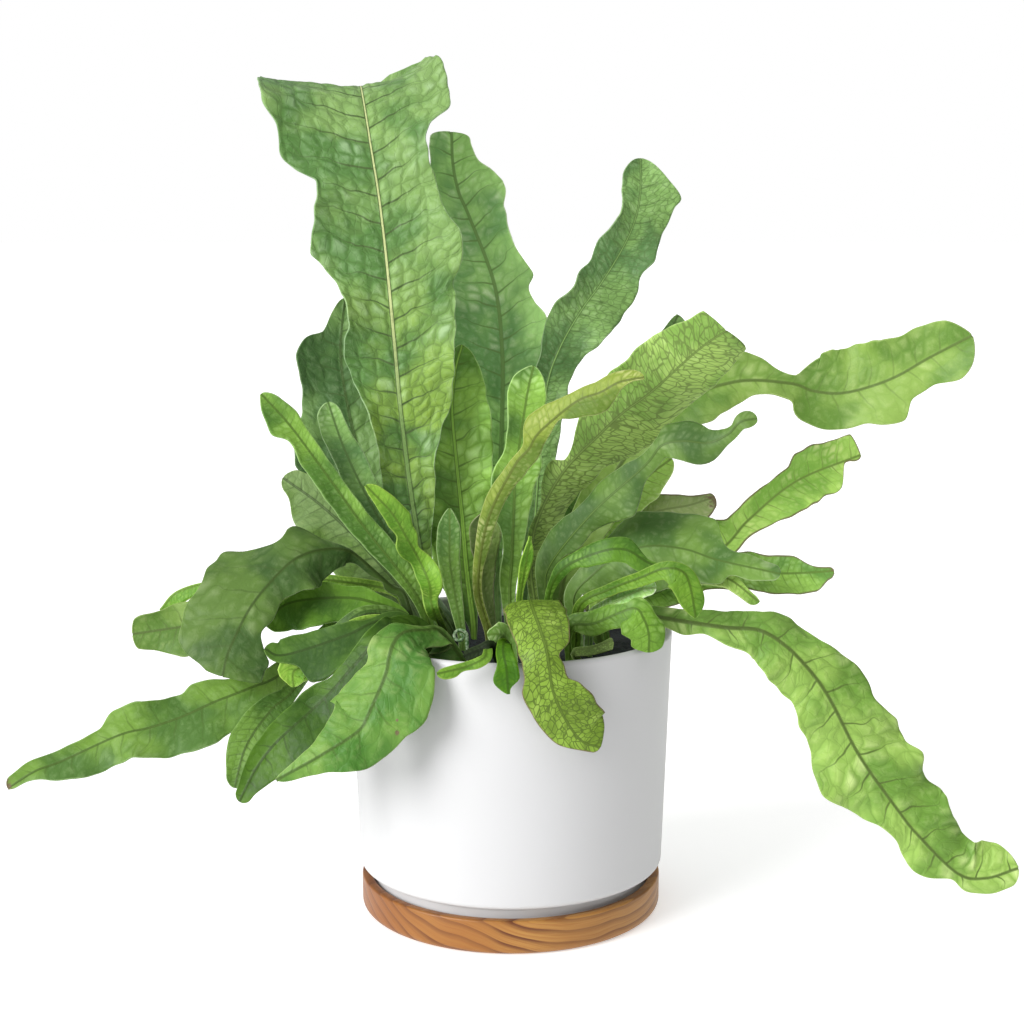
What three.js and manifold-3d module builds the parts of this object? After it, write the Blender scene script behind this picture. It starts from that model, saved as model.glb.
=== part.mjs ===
// A potted crocodile fern: ruffled fronds in a white ceramic pot on a turned wood saucer.
// Millimetres, +Z up. The origin is the middle of the saucer's underside, and the front is -Y.
import * as THREE from "three";
import { mergeVertices } from "three/addons/utils/BufferGeometryUtils.js";
import Module from "manifold-3d";

// Driving dimensions
const CLEARANCE = 0.3;
const ROUND_SIDES = 48;
const ROUND_STEPS = 4;
const EDGE = 1;
const EDGE_STEPS = 2;
const SAME_POINT = 1e-4;

const SAUCER_RADIUS = 75;
const SAUCER_HEIGHT = 17;
const SAUCER_EDGE_ROUND = 4;
const SAUCER_RING_WIDTH = 4.9;
const SAUCER_FLOOR = 10;

const POT_RIM_RADIUS = 80;
const POT_BASE_RADIUS = 75.9;
const POT_TOP = 142;
const POT_BASE = 22.5;
const POT_BASE_ROUND = 3;
const POT_WALL = 4.2;
const POT_FLOOR = 6;
const POT_FOOT_RADIUS = 68.6;
const POT_FOOT_RING = 8;
const POT_FOOT_HOLLOW = 2;
const DRAIN_RADIUS = 7;

const SOIL_TOP = 131;
const SOIL_EDGE_DROP = 1.2;
const SOIL_EDGE_WIDTH = 2;
const HOLE_RADIUS = 3;
const HOLE_SIDES = 8;
const ROOT_DEPTH = 11;

// Over the soil a stalk first goes this share of the way to its rib, sideways and upwards
const NECK_REACH = 0.12;
const NECK_RISE = 0.3;

const BLADE_THICKNESS = 0.9;
const STALK_THICKNESS = 2.4;
const STALK_SHARE = 0.22;
const RIB_HEIGHT = 1.1;
const RIB_TAPER = 0.7;
const LEAST_HALF_WIDTH = 0.8;
const TIP_ROWS = 3;
const LEAST_ROWS = 6;
const ROW_SPACING = 11;
const NARROW_ROW_SPACING = 12;
const CHORD = 1.5;
const ARC_STEPS = 24;

// The ripple of the margins grows along this stretch of the length, and is full on a half width of 15 mm.
// The right margin is this angle ahead of the left one.
const RIPPLE_FROM = 0.15;
const RIPPLE_FULL = 0.4;
const RIPPLE_HALF_WIDTH = 15;
const RIPPLE_OFFSET = 2.1;

// Raised corners of a blade's end reach their full height along this stretch of the length
const CORNER_FROM = 0.84;
const CORNER_FULL = 0.96;

const CURL_ROOT = [-21, -28];
const CURL_HEIGHT = 12;
const CURL_OUTER_RADIUS = 3.6;
const CURL_INNER_RADIUS = 1.1;
const CURL_TURNS = 1.25;
const CURL_STALK_RADIUS = 0.8;
const CURL_POINTS = 14;
const CURL_SIDES = 6;

const FINISHES = {
  wood: { color: 0xc68a52, roughness: 0.4 },
  glaze: { color: 0xf2f2f2, roughness: 0.45 },
  soil: { color: 0x1d2224, roughness: 0.95 },
  young: { color: 0xa9c08a, roughness: 0.5 },
};

// Colours of the fronds, by tone
const LEAF_ROUGHNESS = 0.4;
const TONES = {
  mid: 0x4f8d3a,
  dark: 0x3a6f36,
  light: 0x6fa944,
  blue: 0x44794a,
  olive: 0x6f8f45,
  lime: 0x86bf33,
  pale: 0x8fae7c,
  brown: 0x66694a,
  mottled: 0x7da04a,
  mottled_light: 0x74a650,
};

// The fronds, nearest first. A frond stands at root (x, y) in the soil and follows the points of its rib.
// left and right give each margin as [share of the length, half width], and facing is the way its front
// looks, at even shares of the length. cup lifts both margins, and wave is [height, count, start] of the
// ripple along them. tip is the share of the length that the tip rounds off, and corners is how far the two
// corners of the end rise.
const FRONDS = [
  {
    name: "front_hanging", tone: "mottled", root: [15, -40], columns: 4,
    rib: [[9.5, -42, 155], [9, -50, 165], [10, -63.5, 164.5], [13.5, -78, 157.5],
      [16.5, -87.5, 148.5], [20, -89.5, 129], [30.5, -88, 110], [40.5, -87, 105]],
    left: [[0, 2], [0.1, 2], [0.31, 12.5], [0.46, 14.5], [0.61, 11], [0.64, 5.5], [0.675, 6.5],
      [0.72, 8], [0.745, 12.5], [0.81, 15.5], [0.97, 15.5], [1, 9]],
    right: [[0, 2], [0.1, 2], [0.36, 10.5], [0.4, 13], [0.7, 12], [0.745, 13.5], [0.9, 9.5],
      [0.95, 4], [1, 3]],
    facing: [[0, 0.3, 1], [0, -0.3, 1], [0, -1, 0.4], [0, -1, 0.1], [0.05, -1, 0.05]],
    tip: 0.02, cup: -2, wave: [1.5, 4, 0],
  },
  {
    name: "rim_small_left", tone: "lime", root: [-13, -54], columns: 2,
    rib: [[-11.5, -75, 147.5], [-12, -87, 146.5], [-20, -89, 143], [-33, -92, 140.5]],
    left: [[0, 2], [0.74, 3], [0.84, 1.5], [0.9, 3.5], [1, 3.5]],
    right: [[0, 2], [0.2, 2], [0.44, 0.5], [0.81, 2.5], [1, 2]],
    facing: [[0, -0.6, 1], [0, -1, 0.7]],
    tip: 0.06, cup: 1,
  },
  {
    name: "rim_small_right", tone: "lime", root: [3, -57], columns: 2,
    rib: [[-2.5, -70, 149.5], [-3.5, -81, 148.5], [-2, -88, 142.5], [-1, -89, 130.5]],
    left: [[0, 2], [0.34, 2], [0.9, 5.5], [0.96, 2], [1, 1.5]],
    right: [[0, 2], [0.755, 3.5], [0.91, 6.5], [1, 4]],
    facing: [[0, -0.5, 1], [0, -1, 0.2]],
    tip: 0.12, cup: 1,
  },
  {
    name: "soil_leaf", tone: "olive", root: [33, -45], columns: 2,
    rib: [[30, -47, 140], [38, -50, 142.5], [48, -52, 146.5]],
    left: [[0, 2], [0.365, 2], [0.845, 1], [1, 2]],
    right: [[0, 2], [0.365, 2], [0.61, 4], [0.97, 5], [1, 4]],
    facing: [[0, -1, 1.2]],
    tip: 0.03, cup: 1,
  },
  {
    name: "right_front_lobe", tone: "mottled_light", root: [28, -33], columns: 4,
    rib: [[29, -36, 149.5], [39.5, -42.5, 152.5], [57, -50.5, 161.5], [62, -53.5, 157.5],
      [64.5, -54.5, 150], [64.5, -55, 141.5]],
    left: [[0, 2], [0.17, 2], [0.42, 6.5], [0.565, 6.5], [0.7, 3.5], [0.745, 6], [0.83, 6],
      [0.885, 8.5], [1, 5.5]],
    right: [[0, 2], [0.17, 2], [0.255, 1], [0.465, 5.5], [0.58, 6], [0.85, 12], [0.93, 8.5],
      [0.98, 8], [1, 4]],
    facing: [[0, -1, 0.6], [0, -1, 0.6], [0.1, -1, 0.3]],
    tip: 0.04, cup: -1.5, wave: [1, 3, 0],
  },
  {
    name: "bright_lobe", tone: "lime", root: [31, -24], columns: 4,
    rib: [[33, -30.5, 158.5], [46, -39, 168], [60.5, -49.5, 176], [71.5, -55, 181.5], [80, -57, 180],
      [83.5, -59, 172], [85.5, -61, 159.5]],
    left: [[0, 2], [0.795, 3.5], [0.93, 5.5], [1, 3]],
    right: [[0, 2], [0.73, 5], [0.8, 10], [0.92, 7], [1, 3]],
    facing: [[0, -1, 0.5], [0, -1, 0.2]],
    tip: 0.05, cup: 1, wave: [1, 2, 0],
  },
  {
    name: "dark_low", tone: "dark", root: [-5, -48], columns: 2,
    rib: [[-9, -52.5, 144.5], [-14.5, -54, 142.5], [-22, -56.5, 140]],
    left: [[0, 2], [0.37, 2], [0.96, 3.5], [1, 2.5]],
    right: [[0, 2], [0.37, 2], [0.895, 2.5], [1, 2]],
    facing: [[0, -1, 0.6]],
    tip: 0.06, cup: 1,
  },
  {
    name: "front_left_big", tone: "light", root: [-23, -44], columns: 4,
    rib: [[-33.5, -44, 149], [-40, -52.5, 151.5], [-49, -63, 153], [-53.5, -71.5, 150],
      [-55.5, -75.5, 144], [-57, -77.5, 136.5], [-64, -84, 120.5], [-69.5, -86, 112],
      [-86.5, -89, 101.5], [-106.5, -88, 90]],
    left: [[0, 2], [0.095, 2], [0.145, 13], [0.35, 12.5], [0.565, 25], [0.62, 24.5], [0.7, 17],
      [0.79, 14], [0.86, 7.5], [0.97, 3], [1, 1]],
    right: [[0, 2], [0.3, 4], [0.36, 9], [0.47, 11], [0.495, 10], [0.63, 18.5], [0.7, 19],
      [0.76, 13.5], [0.85, 7], [1, 1]],
    facing: [[0.3, -0.3, 1], [0, -0.7, 1], [-0.2, -1, 0.6], [-0.25, -1, 0.3], [-0.2, -1, 0.2]],
    tip: 0.015, cup: -3, wave: [1.5, 4, 0],
  },
  {
    name: "wavy_front_right", tone: "mid", root: [21, -22], columns: 4,
    rib: [[18, -25, 160], [24.5, -32, 176.5], [43, -41.5, 187], [54.5, -43.5, 188], [63.5, -46, 183],
      [73.5, -49, 179]],
    left: [[0, 2], [0.435, 2], [0.5, 3.5], [0.805, 6], [0.85, 3.5], [0.92, 1.5], [1, 3]],
    right: [[0, 2], [0.37, 2], [0.49, 3.5], [0.58, 3], [0.645, 5.5], [0.95, 5.5], [1, 2.5]],
    facing: [[0, -1, 0.5]],
    tip: 0.03, cup: -1, wave: [1, 3, 0],
  },
  {
    name: "grey_small", tone: "blue", root: [2, -47], columns: 2,
    rib: [[-1.5, -43.5, 144], [-5, -46, 148], [-11, -48.5, 148.5]],
    left: [[0, 2], [0.395, 2], [0.92, 4.5], [1, 3.5]],
    right: [[0, 2], [0.395, 2], [0.85, 6], [0.915, 3.5], [1, 2.5]],
    facing: [[0, -1, 0.4]],
    tip: 0.06, cup: 1,
  },
  {
    name: "young_left", tone: "lime", root: [-31, -14], columns: 4,
    rib: [[-37, -48, 161.5], [-39, -28.5, 168.5], [-43.5, -21, 177.5], [-50, -24, 190.5],
      [-57, -26, 203], [-69, -28, 216.5]],
    left: [[0, 2], [0.315, 1], [0.375, 3], [0.62, 5], [0.68, 4.5], [0.72, 7], [0.765, 6.5], [0.79, 4],
      [0.845, 5], [1, 1.5]],
    right: [[0, 2], [0.42, 3], [0.61, 7], [0.66, 6], [0.72, 3], [0.765, 5.5], [0.8, 5.5], [0.84, 7],
      [1, 3.5]],
    facing: [[0.1, -1, 0.1], [0.1, -1, 0.2]],
    tip: 0.04, cup: 2, wave: [1.5, 3, 0],
  },
  {
    name: "pale_leaf", tone: "pale", root: [38, -20], columns: 2,
    rib: [[39.5, -26.5, 152.5], [48.5, -34, 160], [61, -41.5, 168.5], [68.5, -44, 170]],
    left: [[0, 2], [0.56, 3.5], [0.905, 6], [1, 4]],
    right: [[0, 2], [0.54, 2], [0.87, 5], [1, 3]],
    facing: [[0, -1, 0.6]],
    tip: 0.04, cup: 1,
  },
  {
    name: "low_left_middle", tone: "mid", root: [-30, -38], columns: 4,
    rib: [[-44.5, -35, 148.5], [-53, -51.5, 152.5], [-62, -59.5, 148], [-72.5, -60.5, 137],
      [-82, -62, 126], [-91.5, -62, 116.5], [-100.5, -66, 109], [-110, -69, 100.5], [-118, -72, 90],
      [-125.5, -75, 75.5]],
    left: [[0, 2], [0.375, 4.5], [0.465, 8.5], [0.57, 11], [0.69, 17], [0.845, 14.5], [0.96, 5.5],
      [1, 4]],
    right: [[0, 2], [0.09, 2], [0.26, 8], [0.56, 5], [0.63, 8.5], [0.805, 8], [1, 3]],
    facing: [[0.3, -0.5, 1], [-0.1, -1, 0.8], [-0.2, -1, 0.4]],
    tip: 0.02, cup: 2, wave: [1.5, 4, 2],
  },
  {
    name: "right_hanging", tone: "light", root: [44, -11], columns: 4,
    rib: [[42.5, -14, 146], [54, -20, 152], [67, -29, 153], [83, -34, 151.5], [103, -39, 149.5],
      [118, -42, 149], [130, -45, 142], [142, -48, 130], [150.5, -50, 118], [165.5, -52, 90],
      [183, -54, 65.5], [193, -55, 53], [213, -55, 33.5], [226.5, -55, 31], [242, -55, 36]],
    left: [[0, 2], [0.05, 2], [0.105, 7.5], [0.19, 6], [0.25, 6.5], [0.305, 9], [0.37, 9.5],
      [0.385, 12.5], [0.415, 14], [0.455, 14], [0.505, 19.5], [0.54, 21.5], [0.58, 20], [0.62, 25],
      [0.665, 23], [0.7, 26], [0.73, 21.5], [0.79, 23], [0.81, 20], [0.865, 16.5], [0.95, 17],
      [1, 11.5]],
    right: [[0, 2], [0.05, 2], [0.185, 7], [0.22, 4.5], [0.255, 6.5], [0.29, 4.5], [0.33, 9.5],
      [0.385, 13], [0.44, 17.5], [0.5, 15], [0.545, 18.5], [0.6, 18.5], [0.655, 25], [0.7, 18.5],
      [0.78, 9.5], [0.835, 12.5], [0.86, 11.5], [0.895, 4], [0.92, 6.5], [0.96, 8], [1, 6]],
    facing: [[0, -1, 0.9], [0, -1, 0.7], [0, -1, 0.35], [0, -1, 0.15]],
    tip: 0.02, cup: -3, wave: [2.5, 9, 0],
  },
  {
    name: "low_left_outer", tone: "mid", root: [-51, -12], columns: 4,
    rib: [[-50.5, -13, 148], [-63, -16, 153], [-75.5, -19, 151], [-89, -21, 137.5],
      [-100, -25, 122.5], [-107.5, -31, 114], [-115, -36, 108.5], [-126, -46, 93.5], [-131, -53, 75]],
    left: [[0, 2], [0.095, 2], [0.27, 4], [0.37, 2.5], [0.655, 3.5], [0.73, 8], [0.79, 9.5],
      [0.91, 4.5], [1, 2.5]],
    right: [[0, 2], [0.47, 4], [0.58, 5.5], [0.67, 5], [0.765, 8.5], [0.86, 9.5], [1, 4]],
    facing: [[0.3, -0.5, 1], [-0.1, -1, 0.8], [-0.2, -1, 0.4]],
    tip: 0.03, cup: 2, wave: [1.5, 4, 0],
  },
  {
    name: "young_blade", tone: "lime", root: [4, -12], columns: 2,
    rib: [[4.5, -13, 158.5], [6.5, -15, 172], [9.5, -17, 190]],
    left: [[0, 2], [0.61, 2], [0.77, 3], [1, 1.5]],
    right: [[0, 2], [0.61, 1.5], [0.87, 3.5], [1, 1]],
    facing: [[0.3, -1, 0.2]],
    tip: 0.2, cup: 2,
  },
  {
    name: "pale_twisting", tone: "lime", root: [-10, -10], columns: 4,
    rib: [[-16, -10, 164.5], [-11, -14, 197.5], [1.5, -20, 224], [8.5, -23, 233], [14, -26, 242],
      [30.5, -32, 256.5], [42, -35, 261.5], [51, -37, 266.5], [62, -40, 269]],
    left: [[0, 2], [0.3, 3], [0.49, 5], [0.6, 3], [0.65, 4.5], [0.7, 10], [0.805, 5.5], [0.93, 6],
      [1, 4]],
    right: [[0, 2], [0.27, 2], [0.35, 4], [0.52, 4.5], [0.58, 6.5], [0.7, 4.5], [0.755, 2], [0.78, 5],
      [0.84, 9], [0.88, 9], [0.9, 6.5], [0.97, 1], [1, 1]],
    facing: [[0, -1, 0.1], [-0.2, -1, 0.2], [-0.1, -1, 0.5]],
    tip: 0.03, cup: -2, wave: [1.5, 5, 0], underside: true,
  },
  {
    name: "left_narrow_low", tone: "mid", root: [-38, -6], columns: 4,
    rib: [[-47.5, -9, 161], [-71, -11, 193], [-84.5, -13, 213], [-97, -14, 231], [-107.5, -15, 245.5],
      [-119.5, -16, 259]],
    left: [[0, 2], [0.285, 3.5], [0.545, 7], [0.77, 7], [0.84, 5], [0.895, 9.5], [1, 2.5]],
    right: [[0, 2], [0.09, 2], [0.28, 5], [0.36, 7], [0.61, 5], [0.835, 5.5], [0.895, 6.5], [1, 4]],
    facing: [[0.1, -1, 0.2]],
    tip: 0.04, cup: 3, wave: [1.5, 5, 0],
  },
  {
    name: "sliver_left", tone: "dark", root: [-44, -16], columns: 2,
    rib: [[-50, -20, 149], [-62, -25, 153], [-74.5, -28, 151], [-92, -31, 127], [-97.5, -31, 122]],
    left: [[0, 2], [0.49, 4], [0.68, 2.5], [0.855, 4], [1, 2.5]],
    right: [[0, 2], [0.58, 2.5], [0.755, 4], [1, 3]],
    facing: [[0.2, -1, 0.8]],
    tip: 0.03, cup: 1,
  },
  {
    name: "dark_arch_left", tone: "blue", root: [-47, 3], columns: 4,
    rib: [[-53.5, 9, 156], [-60.5, 9.5, 160.5], [-76.5, 7, 175.5], [-83, 4, 179.5], [-91.5, 0, 180.5],
      [-101, -6, 179], [-110, -13, 174], [-124.5, -28, 158], [-134, -39, 139], [-137, -43, 127]],
    left: [[0, 2], [0.27, 3.5], [0.29, 1.5], [0.33, 3], [0.39, 3.5], [0.44, 8.5], [0.63, 19],
      [0.67, 14], [0.72, 10], [0.785, 12], [0.85, 11], [0.895, 15.5], [0.92, 19.5], [1, 17.5]],
    right: [[0, 2], [0.4, 1], [0.49, 5.5], [0.54, 16.5], [0.56, 17], [0.59, 14], [0.615, 15.5],
      [0.65, 23.5], [0.68, 32], [0.72, 31.5], [0.755, 31.5], [0.81, 28.5], [0.85, 30], [0.935, 25.5],
      [0.96, 20], [0.975, 13.5], [1, 7]],
    facing: [[0.3, -1, 0.6], [-0.1, -1, 0.6], [-0.3, -1, 0.4], [-0.1, -1, 0.15]],
    tip: 0.008, cup: -3, wave: [1.5, 5, 0],
  },
  {
    name: "grey_narrow", tone: "blue", root: [-24, -4], columns: 2,
    rib: [[-28, -2, 160.5], [-30, -3, 175.5], [-30, -3, 188], [-30, -3, 201.5]],
    left: [[0, 2], [0.185, 2], [0.83, 6.5], [1, 3]],
    right: [[0, 2], [0.185, 2], [0.84, 5.5], [1, 2.5]],
    facing: [[0, -1, 0.2]],
    tip: 0.1, cup: 2, wave: [1, 2, 0],
  },
  {
    name: "curl_left", tone: "lime", root: [-43, -24], columns: 2,
    rib: [[-51.5, -28, 150], [-66.5, -33, 153], [-79, -36, 149], [-98, -40, 132.5],
      [-103.5, -41, 128.5], [-103.5, -42, 121.5]],
    left: [[0, 2], [0.81, 1.5], [0.87, 3.5], [0.94, 8], [1, 5]],
    right: [[0, 2], [0.6, 2], [0.87, 5], [0.93, 8], [0.97, 4], [1, 3]],
    facing: [[0.1, -1, 0.6], [0, -1, 0.3]],
    tip: 0.05, cup: 2,
  },
  {
    name: "left_narrow_high", tone: "dark", root: [-36, 2], columns: 4,
    rib: [[-46.5, 3, 158.5], [-56, 1, 179], [-66, 0, 198], [-75, -1, 216], [-82.5, -1, 233.5],
      [-89, -1, 253.5]],
    left: [[0, 2], [0.315, 2], [0.595, 8], [0.78, 7], [0.92, 8], [1, 7]],
    right: [[0, 2], [0.105, 2], [0.77, 8], [0.925, 5], [1, 4.5]],
    facing: [[0.1, -1, 0.2]],
    tip: 0.05, cup: 3, wave: [1.5, 5, 1.6],
  },
  {
    name: "tall_front", tone: "mid", root: [-30, 10], columns: 6,
    rib: [[-40, 9, 153], [-46, 10, 183], [-50.5, 11, 213.5], [-54.5, 13, 248], [-58, 16, 287.5],
      [-61, 20, 319], [-64.5, 26, 348.5], [-69.5, 36, 377.5], [-74, 50, 400.5], [-76.5, 66, 408],
      [-77.5, 86, 405.5]],
    left: [[0, 2], [0.2, 5.5], [0.27, 13], [0.345, 13.5], [0.405, 17], [0.475, 24.5], [0.51, 24.5],
      [0.54, 21], [0.595, 25.5], [0.63, 33.5], [0.645, 36.5], [0.755, 29.5], [0.78, 39], [0.8, 44.5],
      [0.84, 44.5], [0.88, 50.5], [1, 51.5]],
    right: [[0, 2], [0.045, 2], [0.19, 6], [0.26, 11.5], [0.32, 14.5], [0.36, 19], [0.41, 26],
      [0.56, 32.5], [0.58, 31.5], [0.6, 36], [0.65, 38.5], [0.68, 32], [0.785, 27.5], [0.81, 30.5],
      [0.84, 41.5], [0.9, 43], [0.93, 42.5], [1, 32]],
    facing: [[0.1, -1, 0.1], [0.05, -1, 0.15], [0, -1, 0.2], [0, -0.5, 1]],
    tip: 0.015, cup: 4, wave: [3.5, 6, 0], corners: [5, 9],
  },
  {
    name: "left_mid_dark", tone: "dark", root: [-37, -31], columns: 4,
    rib: [[-51, -33, 152], [-64.5, -39, 152.5], [-78.5, -43, 146.5], [-107, -46, 138],
      [-116.5, -46, 141]],
    left: [[0, 2], [0.14, 2], [0.46, 6.5], [0.735, 17.5], [0.83, 15.5], [0.85, 8.5], [0.89, 5],
      [1, 1.5]],
    right: [[0, 2], [0.41, 3.5], [0.51, 2.5], [0.59, 6], [0.905, 8], [1, 4]],
    facing: [[0.1, -1, 0.7]],
    tip: 0.02, cup: 2, wave: [1.5, 3, 1],
  },
  {
    name: "blue_wavy", tone: "blue", root: [20, -4], columns: 4,
    rib: [[17, -6, 161], [20, -9, 175.5], [40, -20, 202.5], [63, -32, 226], [71, -36, 236.5],
      [81, -39, 239], [92, -42, 238.5], [101, -45, 243], [106.5, -47, 249], [114, -48, 250.5]],
    left: [[0, 2], [0.24, 4.5], [0.295, 8.5], [0.38, 10.5], [0.455, 7.5], [0.55, 9.5], [0.72, 4],
      [0.74, 5], [0.76, 10], [0.83, 9.5], [0.935, 2], [0.965, 4.5], [1, 5]],
    right: [[0, 2], [0.325, 3], [0.38, 6.5], [0.46, 6.5], [0.56, 14.5], [0.595, 12], [0.645, 5.5],
      [0.71, 5], [0.83, 10], [0.905, 4], [1, 4]],
    facing: [[-0.1, -1, 0.3], [-0.1, -1, 0.5], [0, -1, 0.5]],
    tip: 0.03, cup: -3, wave: [2, 5, 0.8],
  },
  {
    name: "small_upright", tone: "mid", root: [0, -2], columns: 4,
    rib: [[-0.5, 1, 160], [0.5, 0, 175], [1.5, -1, 200.5], [2.5, -2, 219.5], [7.5, -4, 255],
      [11, -5, 271.5]],
    left: [[0, 2], [0.1, 2], [0.32, 5.5], [0.41, 4.5], [0.475, 7], [0.53, 12], [0.655, 11],
      [0.71, 7.5], [0.78, 7], [0.93, 9.5], [1, 5]],
    right: [[0, 2], [0.265, 3], [0.6, 9.5], [0.67, 12], [0.77, 10], [0.9, 9.5], [1, 5]],
    facing: [[0, -1, 0.1], [0.1, -1, 0.2]],
    tip: 0.05, cup: 3, wave: [2, 4, 0],
  },
  {
    name: "grey_wide_right", tone: "blue", root: [34, -4], columns: 4,
    rib: [[31, -5, 157], [40, -8, 169], [52.5, -11, 179.5], [67.5, -14, 184.5], [84.5, -17, 183.5],
      [100.5, -19, 178.5], [130, -23, 172.5]],
    left: [[0, 2], [0.1, 2], [0.425, 10], [0.53, 18], [0.61, 18.5], [0.74, 21], [0.815, 8],
      [0.895, 7], [1, 4]],
    right: [[0, 2], [0.275, 3.5], [0.36, 11], [0.555, 22.5], [0.74, 16.5], [0.77, 13.5], [0.825, 10],
      [0.84, 6], [0.915, 6], [1, 3.5]],
    facing: [[0, -1, 0.5], [0, -1, 0.7]],
    tip: 0.02, cup: -2, wave: [2, 4, 0],
  },
  {
    name: "old_brown", tone: "brown", root: [-9, 8], columns: 2,
    rib: [[-13.5, 14, 157], [-14, 14, 172.5], [-13, 14, 185], [-11.5, 14, 198]],
    left: [[0, 2], [0.19, 2], [0.49, 4], [0.65, 3.5], [0.77, 7], [0.895, 8], [1, 4]],
    right: [[0, 2], [0.19, 2], [0.82, 8], [0.95, 6.5], [1, 3]],
    facing: [[0.1, -1, 0.2]],
    tip: 0.12, cup: 2, wave: [2, 2, 0],
  },
  {
    name: "hook_right", tone: "light", root: [44, 0], columns: 2,
    rib: [[44, -5.5, 156], [63.5, -10, 162], [87.5, -14, 167], [104, -17, 169.5], [120.5, -20, 158]],
    left: [[0, 2], [0.125, 2], [0.48, 6.5], [0.835, 4], [0.92, 2], [1, 1.5]],
    right: [[0, 2], [0.685, 2], [0.82, 5], [1, 3.5]],
    facing: [[0, -1, 0.6]],
    tip: 0.03, cup: 1,
  },
  {
    name: "left_mid_light", tone: "mid", root: [-46, -6], columns: 4,
    rib: [[-54.5, -3.5, 148.5], [-66, -5, 154], [-82, -5, 157], [-108.5, -8, 155], [-121, -10, 145]],
    left: [[0, 2], [0.145, 2], [0.53, 11.5], [0.66, 13.5], [0.75, 16.5], [0.94, 12], [1, 5]],
    right: [[0, 2], [0.38, 4], [0.5, 7], [0.57, 6], [0.67, 8], [0.79, 5.5], [0.86, 2.5], [1, 2]],
    facing: [[0.1, -1, 0.7]],
    tip: 0.015, cup: 2, wave: [1.5, 3, 0],
  },
  {
    name: "wide_patterned", tone: "olive", root: [14, 8], columns: 4,
    rib: [[10, 8, 168.5], [12.5, 6, 192], [25, 1, 218], [43.5, -7, 239], [54.5, -11, 250],
      [67, -16, 260], [88, -28, 281], [100, -35, 290.5]],
    left: [[0, 2], [0.33, 2.5], [0.39, 1.5], [0.44, 6], [0.49, 7], [0.51, 3], [0.555, 6], [0.61, 13],
      [0.67, 14.5], [0.72, 18.5], [0.8, 20.5], [0.94, 15], [1, 14]],
    right: [[0, 2], [0.07, 2], [0.26, 7.5], [0.39, 13.5], [0.48, 15.5], [0.54, 15.5], [0.64, 24],
      [0.76, 20], [0.81, 23], [1, 17.5]],
    facing: [[0.15, -1, 0.05], [0.2, -1, -0.1], [0.2, -1, -0.3]],
    tip: 0.01, cup: -4, wave: [2.5, 5, 2.2], underside: true,
  },
  {
    name: "upright_mid", tone: "mid", root: [-19, 20], columns: 4,
    rib: [[-22.5, 23, 165.5], [-24.5, 24, 191], [-27.5, 26, 221.5], [-29.5, 28, 246.5],
      [-28, 30, 265.5], [-24.5, 33, 279]],
    left: [[0, 2], [0.095, 2], [0.285, 15.5], [0.615, 17], [0.765, 11.5], [1, 5]],
    right: [[0, 2], [0.095, 2], [0.315, 6.5], [0.44, 13.5], [0.72, 19.5], [0.85, 17], [0.98, 10],
      [1, 7.5]],
    facing: [[0, -1, 0.1], [0.1, -1, 0.2]],
    tip: 0.08, cup: 3, wave: [2.5, 5, 0],
  },
  {
    name: "right_back_low", tone: "mid", root: [48, 8], columns: 4,
    rib: [[41.5, 5, 150], [64.5, 5, 155], [89, 5, 164], [113, 5, 168.5], [136.5, 4, 167.5],
      [160.5, 3, 169]],
    left: [[0, 2], [0.095, 2], [0.715, 10], [0.76, 8.5], [0.87, 8.5], [0.94, 3], [1, 2]],
    right: [[0, 2], [0.095, 2], [0.51, 10.5], [0.57, 7], [0.68, 9.5], [0.935, 10], [0.98, 4.5],
      [1, 3.5]],
    facing: [[0, -1, 0.6], [0, -1, 0.4]],
    tip: 0.015, cup: 2, wave: [2, 4, 0], underside: true,
  },
  {
    name: "far_left", tone: "mid", root: [-56, -2], columns: 4,
    rib: [[-56, 1.5, 148.5], [-69, 1.5, 152.5], [-80, 0, 149], [-89.5, -3.5, 140.5],
      [-112.5, -17, 121.5], [-126.5, -25, 116.5], [-143.5, -29, 110.5], [-158, -33, 104.5],
      [-173.5, -37, 100], [-188, -40, 97], [-214.5, -46, 86], [-226.5, -49, 82], [-239, -52, 74.5]],
    left: [[0, 2], [0.06, 2], [0.18, 5], [0.32, 4], [0.5, 11.5], [0.54, 16.5], [0.6, 20.5],
      [0.73, 14.5], [0.86, 12], [0.955, 3], [1, 1.5]],
    right: [[0, 2], [0.06, 2], [0.175, 4.5], [0.25, 4], [0.5, 7.5], [0.59, 12.5], [0.62, 11],
      [0.755, 13], [0.795, 6.5], [0.94, 5.5], [1, 4]],
    facing: [[0.1, -0.6, 1], [0, -1, 0.7], [0, -1, 0.45]],
    tip: 0.015, cup: 2, wave: [2, 7, 0],
  },
  {
    name: "left_pale", tone: "light", root: [-57, 6], columns: 4,
    rib: [[-56.5, 9.5, 148], [-80.5, 9.5, 154], [-105.5, 9.5, 152], [-136, 10, 145],
      [-161.5, 11, 139.5], [-190.5, 11, 135]],
    left: [[0, 2], [0.09, 2], [0.23, 4.5], [0.515, 6.5], [0.83, 16], [0.91, 11.5], [1, 7]],
    right: [[0, 2], [0.24, 3], [0.86, 12.5], [0.91, 9.5], [0.97, 8.5], [1, 6.5]],
    facing: [[0.1, -1, 0.4]],
    tip: 0.015, cup: 2, wave: [2, 4, 0],
  },
  {
    name: "right_upright", tone: "dark", root: [8, 26], columns: 4,
    rib: [[10.5, 30, 169.5], [13, 34, 200], [15, 38, 230], [18.5, 42, 258], [25, 45, 276.5],
      [35.5, 51, 294.5], [46.5, 58, 309], [56.5, 64, 324.5], [63.5, 69, 339], [67, 75, 354],
      [67.5, 82, 372.5]],
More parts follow.
